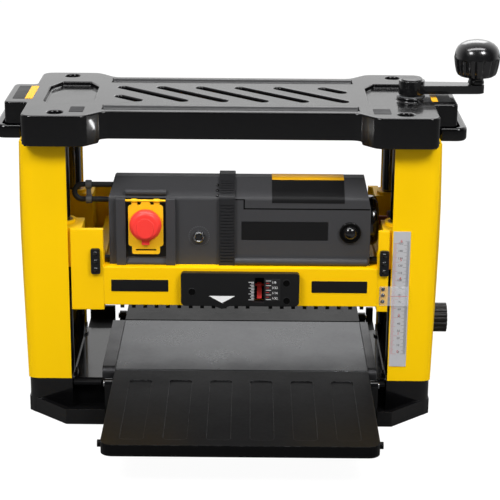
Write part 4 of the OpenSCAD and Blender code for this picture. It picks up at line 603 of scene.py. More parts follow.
    @staticmethod
    def plate(name: str, lo: Pair, hi: Pair, place: Placing, radius: float,
              thickness: float) -> bpy.types.Object:
        """Makes a thin plate with round corners: rings of a rounded rectangle, drawn in to its middle.

        Args:
            name: the object's name.
            lo: lower corner in the plate's own plane, in metres.
            hi: upper corner.
            place: maps (a, b, height) arrays of shape (..., 3) to points in the frame.
            radius: corner radius.
            thickness: height of the plate above its plane.

        Returns:
            The new object.
        """
        low, high = np.array(lo) + radius, np.array(hi) - radius
        centres = np.array([high, (low[0], high[1]), low, (high[0], low[1])])
        turns = np.linspace(0, np.pi / 2, Surface.CORNER_STEPS) + np.arange(4)[:, None] * np.pi / 2
        ring = (centres[:, None] + radius * np.stack([np.cos(turns), np.sin(turns)], -1)).reshape(-1, 2)
        middle = (np.array(lo) + np.array(hi)) / 2
        edge = min(thickness * Surface.EDGE_OF_THICKNESS, radius * Surface.EDGE_OF_RADIUS)
        inner = middle + (ring - middle) * (1 - 2 * edge / (np.array(hi) - np.array(lo)))
        stack = ((ring, 0.0), (ring, thickness - edge), (inner, thickness),
                 (np.tile(middle, (len(ring), 1)), thickness))
        points = np.stack([np.insert(flat, 2, height, axis=1) for flat, height in stack])
        return Surface.grid(name, place(points), closed_v=True)


def facing_front(y: float) -> Placing:
    """Gives a mapping that puts (a, b, height) at x = a, z = b and y - height."""
    return lambda p: np.stack([p[..., 0], y - p[..., 2], p[..., 1]], -1)


def facing_up(z: float) -> Placing:
    """Gives a mapping that puts (a, b, height) at x = a, y = b and z + height."""
    return lambda p: np.stack([p[..., 0], p[..., 1], z + p[..., 2]], -1)


def strokes(boxes: np.ndarray) -> np.ndarray:
    """Gives the four corners of each box, array (n, 4, 2), from low a, low b, high a and high b."""
    return np.stack([boxes[:, [0, 1]], boxes[:, [2, 1]], boxes[:, [2, 3]], boxes[:, [0, 3]]], 1)


def bars(x0: np.ndarray | float, x1: np.ndarray | float, z: np.ndarray, half: float) -> np.ndarray:
    """Gives the corners of level strokes from x0 to x1 at the heights z, each of twice the half height."""
    return strokes(np.stack(np.broadcast_arrays(x0, z - half, x1, z + half), 1))


def dome(radius: float, height: float, steps: int) -> np.ndarray:
    """Gives the profile of an elliptic dome: (r sin a, h cos a) for a from the pole to the rim."""
    a = np.linspace(0, np.pi / 2, steps)
    return np.stack([radius * np.sin(a), height * np.cos(a)], -1)


def hexagon(t: np.ndarray) -> np.ndarray:
    """Gives the radius of a hexagon of unit flats at each angle: 1 over the cosine to the nearest flat."""
    return 1.0 / np.cos((t + np.pi / 6) % (np.pi / 3) - np.pi / 6)


def cross(t: np.ndarray, arm: float = 0.28) -> np.ndarray:
    """Gives the radius of a cross of unit arms: tips at 1 over the cosine, sides at the arm over the sine."""
    a = np.abs((t + np.pi / 4) % (np.pi / 2) - np.pi / 4)
    return np.where(np.tan(a) <= arm, 1.0 / np.cos(a), arm / np.maximum(np.sin(a), 1e-6))


class Fastener(Enum):
    """Head forms of the small fasteners."""

    CROSS_PAN = "cross_pan"
    DOME = "dome"
    HEX_SOCKET = "hex_socket"


@dataclass
class Assembly:
    """A sub-assembly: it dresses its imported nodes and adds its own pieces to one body."""

    MERGE = 2e-6
    FLAT_ANGLE = math.radians(0.6)
    SHARP_ANGLE = math.radians(35)
    HEAD_RISE = 0.55
    HEAD = ((0.0, 0.45), (0.495, 0.45), (0.55, 1.0), (0.8, 0.97), (1.0, 0.6), (1.0, 0.0))
    HEAD_RECESS = (1, 2)
    body: str = "base"
    count: int = 0

    def dress(self, finish: Finish, *nodes: str) -> None:
        """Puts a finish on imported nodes.

        Args:
            finish: the finish.
            nodes: the nodes' names.
        """
        for name in nodes:
            mesh = frame["nodes"][name].data
            mesh.materials.clear()
            mesh.materials.append(finish.material())
            LOG.info("node %s: %s", name, finish.name)

    def soften(self, node: str, finish: Finish, width: float, angle: float = 32.0, full: bool = False) -> None:
        """Stands a copy with rounded edges in a node's place.

        Args:
            node: the node's name.
            finish: its finish.
            width: width of the rounding in metres.
            angle: least edge angle that is rounded, in degrees.
            full: whether the width holds even beside short edges.
        """
        mesh = bpy.data.meshes.new(node + "_soft")
        work = bmesh.new()
        work.from_mesh(frame["nodes"][node].data)
        bmesh.ops.remove_doubles(work, verts=work.verts, dist=self.MERGE)
        bmesh.ops.dissolve_limit(work, angle_limit=self.FLAT_ANGLE, verts=work.verts, edges=work.edges)
        work.to_mesh(mesh)
        work.free()
        mesh.polygons.foreach_set("use_smooth", np.ones(len(mesh.polygons), bool))
        mesh.materials.append(finish.material())
        made = placed(node + "_soft", mesh)
        bevel = made.modifiers.new("round_edges", "BEVEL")
        bevel.width = width
        bevel.segments = 3
        bevel.limit_method = "ANGLE"
        bevel.angle_limit = math.radians(angle)
        bevel.use_clamp_overlap = not full
        made.modifiers.new("level_faces", "WEIGHTED_NORMAL").weight = 100
        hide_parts(node)
        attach(made, BODY_OF[node])
        LOG.info("rounded %s: %s", node, finish.name)

    def add(self, piece: bpy.types.Object, finish: Finish, body: str | None = None,
            smooth: bool = True) -> None:
        """Finishes a new piece and lets it ride.

        Args:
            piece: the new object.
            finish: its finish.
            body: the body that it rides on, or the assembly's own.
            smooth: whether its faces are shaded smooth.
        """
        piece.data.materials.clear()
        piece.data.materials.append(finish.material())
        piece.data.polygons.foreach_set("use_smooth", np.full(len(piece.data.polygons), smooth))
        if smooth:
            piece.data.set_sharp_from_angle(angle=self.SHARP_ANGLE)
        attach(piece, body or self.body)
        self.count += 1
        LOG.info("piece %s: %s", piece.name, finish.name)

    def fastener(self, name: str, centre: Point, axis: Point, radius: float, form: Fastener, finish: Finish,
                 height: float | None = None) -> None:
        """Adds a screw head: an elliptic dome, or a rim round a recess whose outline is a cross or a hexagon.

        Args:
            name: the piece's name.
            centre: middle of the seat.
            axis: direction out of the seat.
            radius: radius of the head.
            form: form of the head and its recess.
            finish: its finish.
            height: height of the head, or None for a share of its radius.
        """
        h = height or radius * self.HEAD_RISE
        if form is Fastener.DOME:
            self.add(Surface.turned(name, dome(radius, h, 9), centre, axis, sides=32), finish)
            return
        recess = cross if form is Fastener.CROSS_PAN else hexagon
        head = Surface.turned(name, np.array(self.HEAD) * (radius, h), centre, axis, sides=48,
                              outline=lambda t, k: recess(t) if k in self.HEAD_RECESS else np.ones_like(t))
        self.add(head, finish)

    def words(self, name: str, text: str, size: float, finish: Finish, place: Placing, at: Pair,
              align: str = "CENTER") -> None:
        """Adds flat generic figures as a mesh.

        Args:
            name: the piece's name.
            text: the figures.
            size: height of the figures in metres.
            finish: their finish.
            place: maps (a, b, height) to the frame.
            at: where the figures stand in the plane.
            align: LEFT, CENTER or RIGHT.
        """
        curve = bpy.data.curves.new(name, "FONT")
        curve.body = text
        curve.size = size
        curve.align_x = align
        curve.align_y = "CENTER"
        curve.resolution_u = 2
        source = placed(name + "_source", curve)
        bpy.context.view_layer.update()
        mesh = bpy.data.meshes.new_from_object(source.evaluated_get(bpy.context.evaluated_depsgraph_get()))
        bpy.data.objects.remove(source)
        bpy.data.curves.remove(curve)
        flat = np.zeros(len(mesh.vertices) * 3, np.float32)
        mesh.vertices.foreach_get("co", flat)
        points = place(flat.reshape(-1, 3) + np.array([*at, 0.0]))
        mesh.vertices.foreach_set("co", points.astype(np.float32).ravel())
        mesh.name = name
        self.add(placed(name, mesh), finish, smooth=False)

    def marks(self, name: str, corners: np.ndarray, finish: Finish, place: Placing) -> None:
        """Adds printed strokes: flat four-sided faces in one mesh.

        Args:
            name: the piece's name.
            corners: array (n, 4, 2) in the print's plane, in metres.
            finish: their finish.
            place: maps (a, b, height) to the frame.
        """
        points = place(np.concatenate([corners, np.zeros((*corners.shape[:2], 1))], -1)).reshape(-1, 3)
        mesh = bpy.data.meshes.new(name)
        mesh.from_pydata(points.tolist(), [], np.arange(len(points)).reshape(-1, 4).tolist())
        self.add(placed(name, mesh), finish, smooth=False)


@dataclass
class Studio:
    """Camera, soft lamps, pale floor and white surroundings."""

    eye: Point = (0.0246, -2.1051, 0.8876)
    yaw: float = -0.256
    pitch: float = 18.367
    roll: float = 0.386
    focal_px: float = 1634.75
    middle_px: Pair = (241.99, 254.86)
    picture_px: float = 500.0
    sensor: float = 36.0
    boxes: tuple = (("left_box", (-1.05, -1.35, 1.75), (0, 0, 0.2), (0.6, 0.6), 25),
                    ("right_box", (1.05, -1.35, 1.75), (0, 0, 0.2), (0.6, 0.6), 25),
                    ("top_box", (0.0, -0.35, 2.0), (0, 0, 0.3), (2.2, 0.4), 24),
                    ("rear_box", (0.3, 1.8, 1.5), (0, 0, 0.2), (1.2, 0.8), 9))
    strip_at: Point = (0.95, -0.113, 0.128)
    strip_towards: Point = (-0.17, -0.115, 0.39)
    strip_size: Pair = (0.006, 0.03)
    strip_power: float = 0.035
    strip_roll: float = 25.0
    floor_half: float = 6.0
    floor_tone: float = 0.14
    floor_roughness: float = 0.9
    floor_glow: float = 2.4
    glow_share: float = 0.4
    backdrop_y: Pair = (-0.3, 0.8)
    backdrop_light: Pair = (0.03, 1.0)
    soft_light: float = 0.45

    def camera(self) -> None:
        """Sets the camera at the photograph's viewing angle."""
        y, p, r = (math.radians(v) for v in (self.yaw, self.pitch, self.roll))
        ahead = Vector((math.sin(y) * math.cos(p), math.cos(y) * math.cos(p), -math.sin(p)))
        right = Vector((math.cos(y), -math.sin(y), 0))
        up = right.cross(ahead)
        across = math.cos(r) * right + math.sin(r) * up
        over = -math.sin(r) * right + math.cos(r) * up
        data = bpy.data.cameras.new("camera")
        data.sensor_width = self.sensor
        data.lens = self.focal_px / self.picture_px * self.sensor
        data.shift_x = (self.picture_px / 2 - self.middle_px[0]) / self.picture_px
        data.shift_y = (self.middle_px[1] - self.picture_px / 2) / self.picture_px
        made = placed("camera", data)
        rows = Matrix((across, over, -ahead)).transposed()
        made.matrix_world = Matrix.Translation(self.eye) @ rows.to_4x4()
        bpy.context.scene.camera = made

    def lamp(self, name: str, at: Point, towards: Point, size: Pair, power: float, roll: float = 0.0) -> None:
        """Adds a rectangular soft lamp.

        Args:
            name: the lamp's name.
            at: its place.
            towards: the point that it faces.
            size: its width and height in metres.
            power: its power in watts.
            roll: its turn about its own beam, in degrees.
        """
        data = bpy.data.lights.new(name, "AREA")
        data.shape = "RECTANGLE"
        data.size, data.size_y = size
        data.energy = power
        made = placed(name, data)
        made.location = at
        beam = (Vector(towards) - Vector(at)).to_track_quat("-Z", "Y")
        made.rotation_euler = (beam @ Quaternion(UP, math.radians(roll))).to_euler()
        made.visible_camera = False

    def floor(self) -> None:
        """Adds the pale floor, which looks white to the camera and keeps the object's shadow."""
        ends = np.array([-self.floor_half, self.floor_half])
        x, y = np.meshgrid(ends, ends)
        made = Surface.grid("floor", np.stack([x, y, np.zeros_like(x)], -1))
        paint = bpy.data.materials.new("floor_paint")
        paint.use_nodes = True
        tree = paint.node_tree
        shader = tree.nodes["Principled BSDF"]
        shader.inputs["Base Color"].default_value = (*[self.floor_tone] * 3, 1)
        shader.inputs["Roughness"].default_value = self.floor_roughness
        glow = Shading.node(tree, "Emission", {"Strength": self.floor_glow})
        mix = Shading.node(tree, "MixShader")
        path = Shading.node(tree, "LightPath")
        seen = Shading.node(tree, "Math", {1: self.glow_share}, operation="MULTIPLY")
        Shading.join(
            tree,
            (path.outputs["Is Camera Ray"], seen.inputs[0]), (seen.outputs[0], mix.inputs["Fac"]),
            (shader.outputs[0], mix.inputs[1]), (glow.outputs[0], mix.inputs[2]),
            (mix.outputs[0], tree.nodes["Material Output"].inputs["Surface"]))
        made.data.materials.append(paint)

    def surroundings(self) -> None:
        """Sets a world that is white to the camera, a backdrop to reflections and soft light to the rest."""
        world = bpy.data.worlds.new("studio")
        world.use_nodes = True
        bpy.context.scene.world = world
        tree = world.node_tree
        back = tree.nodes["Background"]
        back.inputs["Color"].default_value = (1, 1, 1, 1)
        ray = Shading.node(tree, "LightPath").outputs
        seen = Shading.node(tree, "Math", operation="MAXIMUM")
        part = Shading.node(tree, "SeparateXYZ")
        ends = zip(("From Min", "From Max", "To Min", "To Max"), self.backdrop_y + self.backdrop_light)
        ramp = Shading.node(tree, "MapRange", dict(ends), interpolation_type="SMOOTHSTEP")
        mirror = Shading.node(tree, "Mix", {"A": self.soft_light})
        level = Shading.node(tree, "Mix", {"B": 1.0})
        Shading.join(
            tree,
            (Shading.node(tree, "TexCoord").outputs["Generated"], part.inputs[0]),
            (part.outputs["Y"], ramp.inputs["Value"]), (ray["Is Glossy Ray"], mirror.inputs["Factor"]),
            (ramp.outputs["Result"], mirror.inputs["B"]), (ray["Is Camera Ray"], seen.inputs[0]),
            (ray["Is Transmission Ray"], seen.inputs[1]), (seen.outputs[0], level.inputs["Factor"]),
            (mirror.outputs["Result"], level.inputs["A"]), (level.outputs["Result"], back.inputs["Strength"]))

    def build(self) -> None:
        """Makes the camera, the lamps, the floor and the world."""
        self.camera()
        for box in self.boxes:
            self.lamp(*box)
        for side in (-1, 1):
            at, towards = ((side * x, y, z) for x, y, z in (self.strip_at, self.strip_towards))
            self.lamp(f"edge_strip_{side}", at, towards, self.strip_size, self.strip_power,
                      roll=side * self.strip_roll)
        self.floor()
        self.surroundings()
        bpy.context.scene.view_settings.view_transform = "Standard"


@dataclass
class Base(Assembly):
    """Base casting, bed plate, rails, hinge pins, lift chain and the decks beside the bed."""

    edge: float = 1.6 * MM
    bed_edge: float = 0.6 * MM
    decks: tuple = (("left_side_deck", -0.2062, -0.1702), ("right_side_deck", 0.1962, 0.2062))
    deck_y: Pair = (-0.104, 0.1415)
    deck_z: Pair = (0.0405, 0.0445)
    lip: Pair = (0.1345, 0.0630)
    deck_round: float = 0.8 * MM

    def side_decks(self) -> None:
        """Adds the black decks beside the bed: a profile of deck and rear lip, carried along X."""
        (y0, y1), (z0, z1), (lip_y, lip_z), r = self.deck_y, self.deck_z, self.lip, self.deck_round
        ring = np.array([(y0, z0), (y0, z1 - r), (y0 + r, z1), (lip_y - r, z1), (lip_y, z1 + r),
                         (lip_y, lip_z - r), (lip_y + r, lip_z), (y1 - r, lip_z), (y1, lip_z - r), (y1, z0)])
        for name, *ends in self.decks:
            rows = np.stack([np.insert(ring, 0, x, axis=1) for x in ends])
            self.add(Surface.grid(name, rows, closed_v=True, caps=True), DECK)

    def build(self) -> None:
        """Dresses the base's nodes and adds the side decks."""
        self.side_decks()
        self.soften("base_casting", BASE_BLACK, self.edge)
        self.soften("bed_plate", BED, self.bed_edge)
        self.dress(RAIL, "bed_rails")
        self.dress(STEEL, "table_pins")
        self.dress(DARK_STEEL, "lift_chain")
        self.dress(BRONZE, "screw_bushes")


@dataclass(frozen=True)
class ScaleRow:
    """One row of the thickness scale: strokes that start at an edge of the plate, and their figures.

    A side of 1 starts at the left edge and -1 at the right one. The first divisor of a stroke's number in
    lengths gives its length.
    """

    unit: str
    finish: Finish
    side: int
    step: float
    last: int
    lengths: tuple[tuple[int, float], ...]
    figures: range
    per_figure: int
    size: float
    inset: float
    rise: float
    align: str


@dataclass
class Columns(Assembly):
    """Column covers, guide posts, the thickness scale and the depth stop."""

    edge: float = 1.0 * MM
    edge_angle: float = 50.0
    zero_z: float = 88.8 * MM
    ink_gap: float = 0.12 * MM
    ink_half: float = 0.14 * MM
    side_margin: float = 1 * MM
    end_margin: float = 3 * MM
    figure_margin: float = 6 * MM
    rows: tuple[ScaleRow, ...] = (
        ScaleRow("mm", BLACK_INK, -1, MM, 155, ((10, 7.5 * MM), (5, 5.5 * MM), (1, 3.5 * MM)),
                 range(0, 160, 10), 1, 4.2 * MM, 9.2 * MM, 2.2 * MM, "RIGHT"),
        ScaleRow("inch", RED_INK, 1, 25.4 * MM / 16, 96,
                 ((16, 7.5 * MM), (8, 5.5 * MM), (4, 4.2 * MM), (1, 3 * MM)),
                 range(7), 16, 5.5 * MM, 10.5 * MM, 3 * MM, "CENTER"))

    def scale(self) -> None:
        """Prints the thickness scale: millimetres on the right edge, inches and their parts on the left."""
        lo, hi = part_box("scale_plate")
        place = facing_front(lo.y - self.ink_gap)
        edges = {1: lo.x, -1: hi.x}
        for row in self.rows:
            n = np.arange(row.last + 1)
            z = self.zero_z + n * row.step
            reach = np.select([n % every == 0 for every, _ in row.lengths], [long for _, long in row.lengths])
            start = edges[row.side] + row.side * self.side_margin
            x = np.sort(np.stack([np.full(len(n), start), start + row.side * reach]), axis=0)
            keep = z < hi.z - self.end_margin
            self.marks(f"scale_{row.unit}_marks", bars(*x, z, self.ink_half)[keep], row.finish, place)
        for row in self.rows:
            for figure in row.figures:
                z = self.zero_z + figure * row.per_figure * row.step
                if z < hi.z - self.figure_margin:
                    at = (edges[row.side] + row.side * row.inset, z + row.rise)
                    self.words(f"scale_{row.unit}_{figure}", str(figure), row.size, row.finish, place, at,
                               align=row.align)

    def build(self) -> None:
        """Dresses the columns and prints the scale."""
        for side in ("left", "right"):
            self.soften(f"{side}_column_cover", YELLOW, self.edge, angle=self.edge_angle)
        self.dress(POST, "guide_posts")
        self.dress(SCALE, "scale_plate")
        self.dress(PLASTIC, "depth_stop_knob")
        self.scale()


@dataclass
class TopCover(Assembly):
    """Moulded top cover with its grips, return rollers, four bolts and bare plates."""

    edge: float = 2.2 * MM
    grip_edge: float = 4.0 * MM
    bolt_x: float = 0.220
    bolt_y: float = 0.108
    bolt_r: float = 6.4 * MM
    bolt_h: float = 6 * MM
    recess: float = 9 * MM
    plate_round: float = 1.5 * MM
    plate_h: float = 0.35 * MM
    plates: tuple = (("left_end_plate", (-0.2835, -0.034), (-0.2675, 0.040), PLATE_BLACK),
                     ("left_end_strip", (-0.2675, -0.034), (-0.2575, 0.040), PLATE_YELLOW),
                     ("right_end_plate", (0.2680, -0.034), (0.2855, 0.008), PLATE_BLACK),
                     ("right_end_strip", (0.2600, -0.034), (0.2680, 0.008), PLATE_YELLOW),
                     ("left_corner_plate", (-0.2030, -0.106), (-0.1850, -0.078), PLATE_GREY),
                     ("right_corner_plate", (0.1800, -0.106), (0.2020, -0.080), PLATE_GREY))

    def build(self) -> None:
        """Dresses the cover and adds its bolts and plates."""
        self.soften("top_cover", BLACK_GLOSS, self.edge, full=True)
        self.soften("handle_grips", BLACK_GLOSS, self.grip_edge, full=True)
        self.dress(ROLLER, "front_return_roller", "rear_return_roller")
        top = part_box("top_cover")[1].z
        for k, (sx, sy) in enumerate([(-1, -1), (1, -1), (-1, 1), (1, 1)]):
            self.fastener(f"top_bolt_{k}", (sx * self.bolt_x, sy * self.bolt_y, top - self.recess), UP,
                          self.bolt_r, Fastener.HEX_SOCKET, DARK_STEEL, height=self.bolt_h)
        for name, lo, hi, finish in self.plates:
            self.add(Surface.plate(name, lo, hi, facing_up(top), self.plate_round, self.plate_h), finish)


@dataclass
class Crank(Assembly):
    """Crank arm, its hub cap and washer, the knob and the lead screws."""

    body: str = "crank"
    arm_gap: float = 3 * MM
    hub_h: float = 18 * MM
    cap_rise: float = 1.2 * MM
    cap_mm: tuple = ((0, 0.9), (10.72, 0.8), (12.998, 0.45), (13.4, 0))
    washer_mm: tuple = ((10, 0), (10, 1.0), (17.6, 1.0), (18.4, 0.5), (18.4, 0))
    knob_mm: tuple = ((9.0, 0.0), (10.5, 1.0), (10.5, 4.0), (9.6, 5.0), (9.6, 7.0), (10.8, 8.0), (12.5, 9.0),
                      (22.0, 11.0), (25.2, 13.0), (26.6, 16.0), (28.0, 22.0), (29.0, 28.0), (29.6, 33.0),
                      (29.9, 35.0), (29.3, 37.0), (29.0, 39.5), (28.0, 44.0), (25.8, 48.5), (22.0, 52.4),
                      (16.5, 55.4), (10.0, 57.2), (4.0, 57.9), (0.0, 58.0))
    flutes: int = 14
    fluted: tuple[int, int] = (8, 13)
    flute_depth: float = 0.075
    knob_sides: int = 168

    def knob(self) -> None:
        """Turns the domed knob: a profile whose skirt has scallops, r (1 - d |sin(n t / 2)|^6) at angle t."""
        lo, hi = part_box("crank_knob")
        profile = in_mm(*self.knob_mm)
        profile[:, 1] *= (hi.z - lo.z) / profile[-1, 1]
        seat = ((lo.x + hi.x) / 2, (lo.y + hi.y) / 2, lo.z)
        first, last = self.fluted
        made = Surface.turned("knob_shell", profile, seat, UP, sides=self.knob_sides,
                              outline=lambda t, k: 1 - (self.flute_depth if first <= k < last else 0.0)
                              * np.abs(np.sin(t * self.flutes / 2)) ** 6)
        self.add(made, GLOSS_PLASTIC, body="crank_knob")
        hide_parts("crank_knob")

    def build(self) -> None:
        """Dresses the crank and adds the knob, the hub cap and the washer under the hub."""
        self.dress(GLOSS_PLASTIC, "crank_arm")
        self.knob()
        self.dress(STEEL, "right_lead_screw", "left_lead_screw")
        lo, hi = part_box("right_lead_screw")
        axis_x = (lo.x + hi.x) / 2
        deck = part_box("top_cover")[1].z
        cap_z = deck + self.arm_gap + self.hub_h + self.cap_rise
        self.add(Surface.turned("hub_cap", in_mm(*self.cap_mm), (axis_x, 0, cap_z), UP), ROLLER)
        washer = Surface.turned("hub_washer", in_mm(*self.washer_mm), (axis_x, 0, deck), UP)
        self.add(washer, GREY, body="base")


@dataclass
class Carriage(Assembly):
    """Carriage sides, crossbars, gauge, indicator window, brackets and drive."""

    body: str = "carriage"
    bezel_edge: float = 0.8 * MM
    arrow: tuple = (((-0.0266, 0.1710, 0), (0.0071, 0.1710, 0)), ((-0.0098, 0.1614, 0), (-0.0097, 0.1614, 0)))
    arrow_gap: float = 0.2 * MM
    strip: tuple = ((0.046, 0.1645), (0.0655, 0.1945))
    strip_h: float = 0.3 * MM
    print_gap: float = 0.6 * MM
    ink_half: float = 0.3 * MM
    inch_z: tuple = (0.1668, 0.1922, 9)
    inch_x: tuple = (0.0468, 0.0535, 0.051)
    metric_z: tuple = (0.1662, 0.1902, 13)
    metric_x: tuple = (0.0245, 0.0265, 0.028, 0.0315)
    figures: tuple = ("1/32", "1/16", "3/32", "1/8")
    figure_size: float = 4.4 * MM
    figure_at: Pair = (0.0545, 0.1684)
    figure_pitch: float = 7.2 * MM
    holes: tuple = ((-0.0486, 0.1761), (0.0733, 0.1888), (0.0738, 0.1648))
    rim_mm: tuple = ((4.3, 0.05), (4.4, 0.35), (4.9, 0.3), (5.3, 0))
    # Profile of a near-flat disc of painted shade inside each rim, in place of the hole's dark depth.
    hole_shade_mm: tuple = ((0, 0.1), (2.0, 0.12), (4.35, 0.15))
    bracket_inset: float = 6 * MM
    bracket_screw_r: float = 3.3 * MM
    window_screw_x: float = 0.1985
    window_screw_z: tuple = (0.163, 0.1715, 0.180)
    window_screw_r: float = 2.6 * MM
    window_line_z: float = 0.1695
    window_line_half: float = 0.4 * MM
    window_line_insets: Pair = (12 * MM, 1 * MM)
    window_line_gap: float = 0.2 * MM
    plates: tuple = (((-0.1535, 0.1735), (-0.0795, 0.1895)), ((0.106, 0.1735), (0.178, 0.1895)))
    plate_round: float = 1.0 * MM
    plate_h: float = 0.5 * MM

    def gauge(self) -> None:
        """Prints the depth-of-cut gauge and adds its three holes: a plastic rim round a flat disc of painted
        shade, in place of each hole's dark depth.
        """
        face_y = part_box("gauge_bezel")[0].y
        arrow = facing_front(face_y - self.arrow_gap)(np.array(self.arrow))
        self.add(Surface.grid("gauge_arrow", arrow), WHITE_INK, smooth=False)
        strip = Surface.plate("gauge_strip", *self.strip, facing_front(face_y), self.plate_round, self.strip_h)
        self.add(strip, BLACK_INK)
        place = facing_front(face_y - self.print_gap)
        z = np.linspace(*self.inch_z)
        start, whole, half = self.inch_x
        self.marks("gauge_marks", bars(start, whole, z[::2], self.ink_half), WHITE_INK, place)
        self.marks("gauge_half_marks", bars(start, half, z[1::2], self.ink_half), RED_INK, place)
        z = np.linspace(*self.metric_z)
        n = np.arange(len(z))
        long, middle, short, end = self.metric_x
        start = np.select([n % 4 == 0, n % 2 == 0], [long, middle], short)
        self.marks("gauge_metric_marks", bars(start, end, z, self.ink_half), WHITE_INK, place)
        for k, text in enumerate(self.figures):
            at = (self.figure_at[0], self.figure_at[1] + k * self.figure_pitch)
            self.words(f"gauge_figure_{k}", text, self.figure_size, WHITE_INK, place, at, align="LEFT")
        rim, hole_shade = in_mm(*self.rim_mm), in_mm(*self.hole_shade_mm)
        for k, (x, z) in enumerate(self.holes):
            self.add(Surface.turned(f"gauge_hole_rim_{k}", rim, (x, face_y, z), FORWARD), PLASTIC)
            # A near-flat disc of painted shade stands in for the dark inside of each hole.
            self.add(Surface.turned(f"gauge_hole_{k}", hole_shade, (x, face_y, z), FORWARD), PAINTED_SHADE)

    def screws(self) -> None:
        """Adds the screws of the rod brackets and of the indicator window, and the window's red line."""
        lo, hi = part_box("rod_brackets")
        inset = self.bracket_inset
        for side, x in (("left", lo.x + inset), ("right", hi.x - inset)):
            for k, z in enumerate((lo.z + inset, (lo.z + hi.z) / 2, hi.z - inset)):
                self.fastener(f"{side}_bracket_screw_{k}", (x, lo.y, z), FORWARD, self.bracket_screw_r,
                              Fastener.DOME, GLOSS_PLASTIC)
        lo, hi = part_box("indicator_window")
        for k, z in enumerate(self.window_screw_z):
            self.fastener(f"window_screw_{k}", (self.window_screw_x, lo.y, z), FORWARD, self.window_screw_r,
                          Fastener.CROSS_PAN, STEEL)
        left, right = self.window_line_insets
        line = bars(lo.x + left, hi.x - right, np.array([self.window_line_z]), self.window_line_half)
        self.marks("window_line", line, RED_INK, facing_front(hi.y + self.window_line_gap))

    def build(self) -> None:
        """Dresses the carriage and adds its prints, plates and screws."""
        self.dress(YELLOW_BAR, "left_carriage_side", "right_carriage_side", "front_crossbar", "rear_crossbar",
                   "motor_deck")
        self.dress(BRONZE, "post_bushes", "lift_nuts")
        self.dress(STEEL, "cutterhead", "knives", "carriage_bearings")
        self.dress(RUBBER, "drive_belt", "infeed_roller", "outfeed_roller")
        self.dress(DARK_STEEL, "feed_chain", "tie_rod", "rod_brackets", "chip_hood", "kickback_pawls")
        self.dress(IRON, "feed_gearbox", "motor_stator")
        self.dress(COPPER, "motor_armature")
        self.soften("gauge_bezel", PLASTIC, self.bezel_edge)
        self.dress(RED, "gauge_pointer")
        self.dress(PLASTIC, "gauge_foot")
        self.dress(WINDOW, "indicator_window")
        self.gauge()
        self.screws()
        face = facing_front(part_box("front_crossbar")[0].y)
        for k, (lo, hi) in enumerate(self.plates):
            plate = Surface.plate(f"blank_plate_{k}", lo, hi, face, self.plate_round, self.plate_h)
            self.add(plate, PLATE_BLACK)


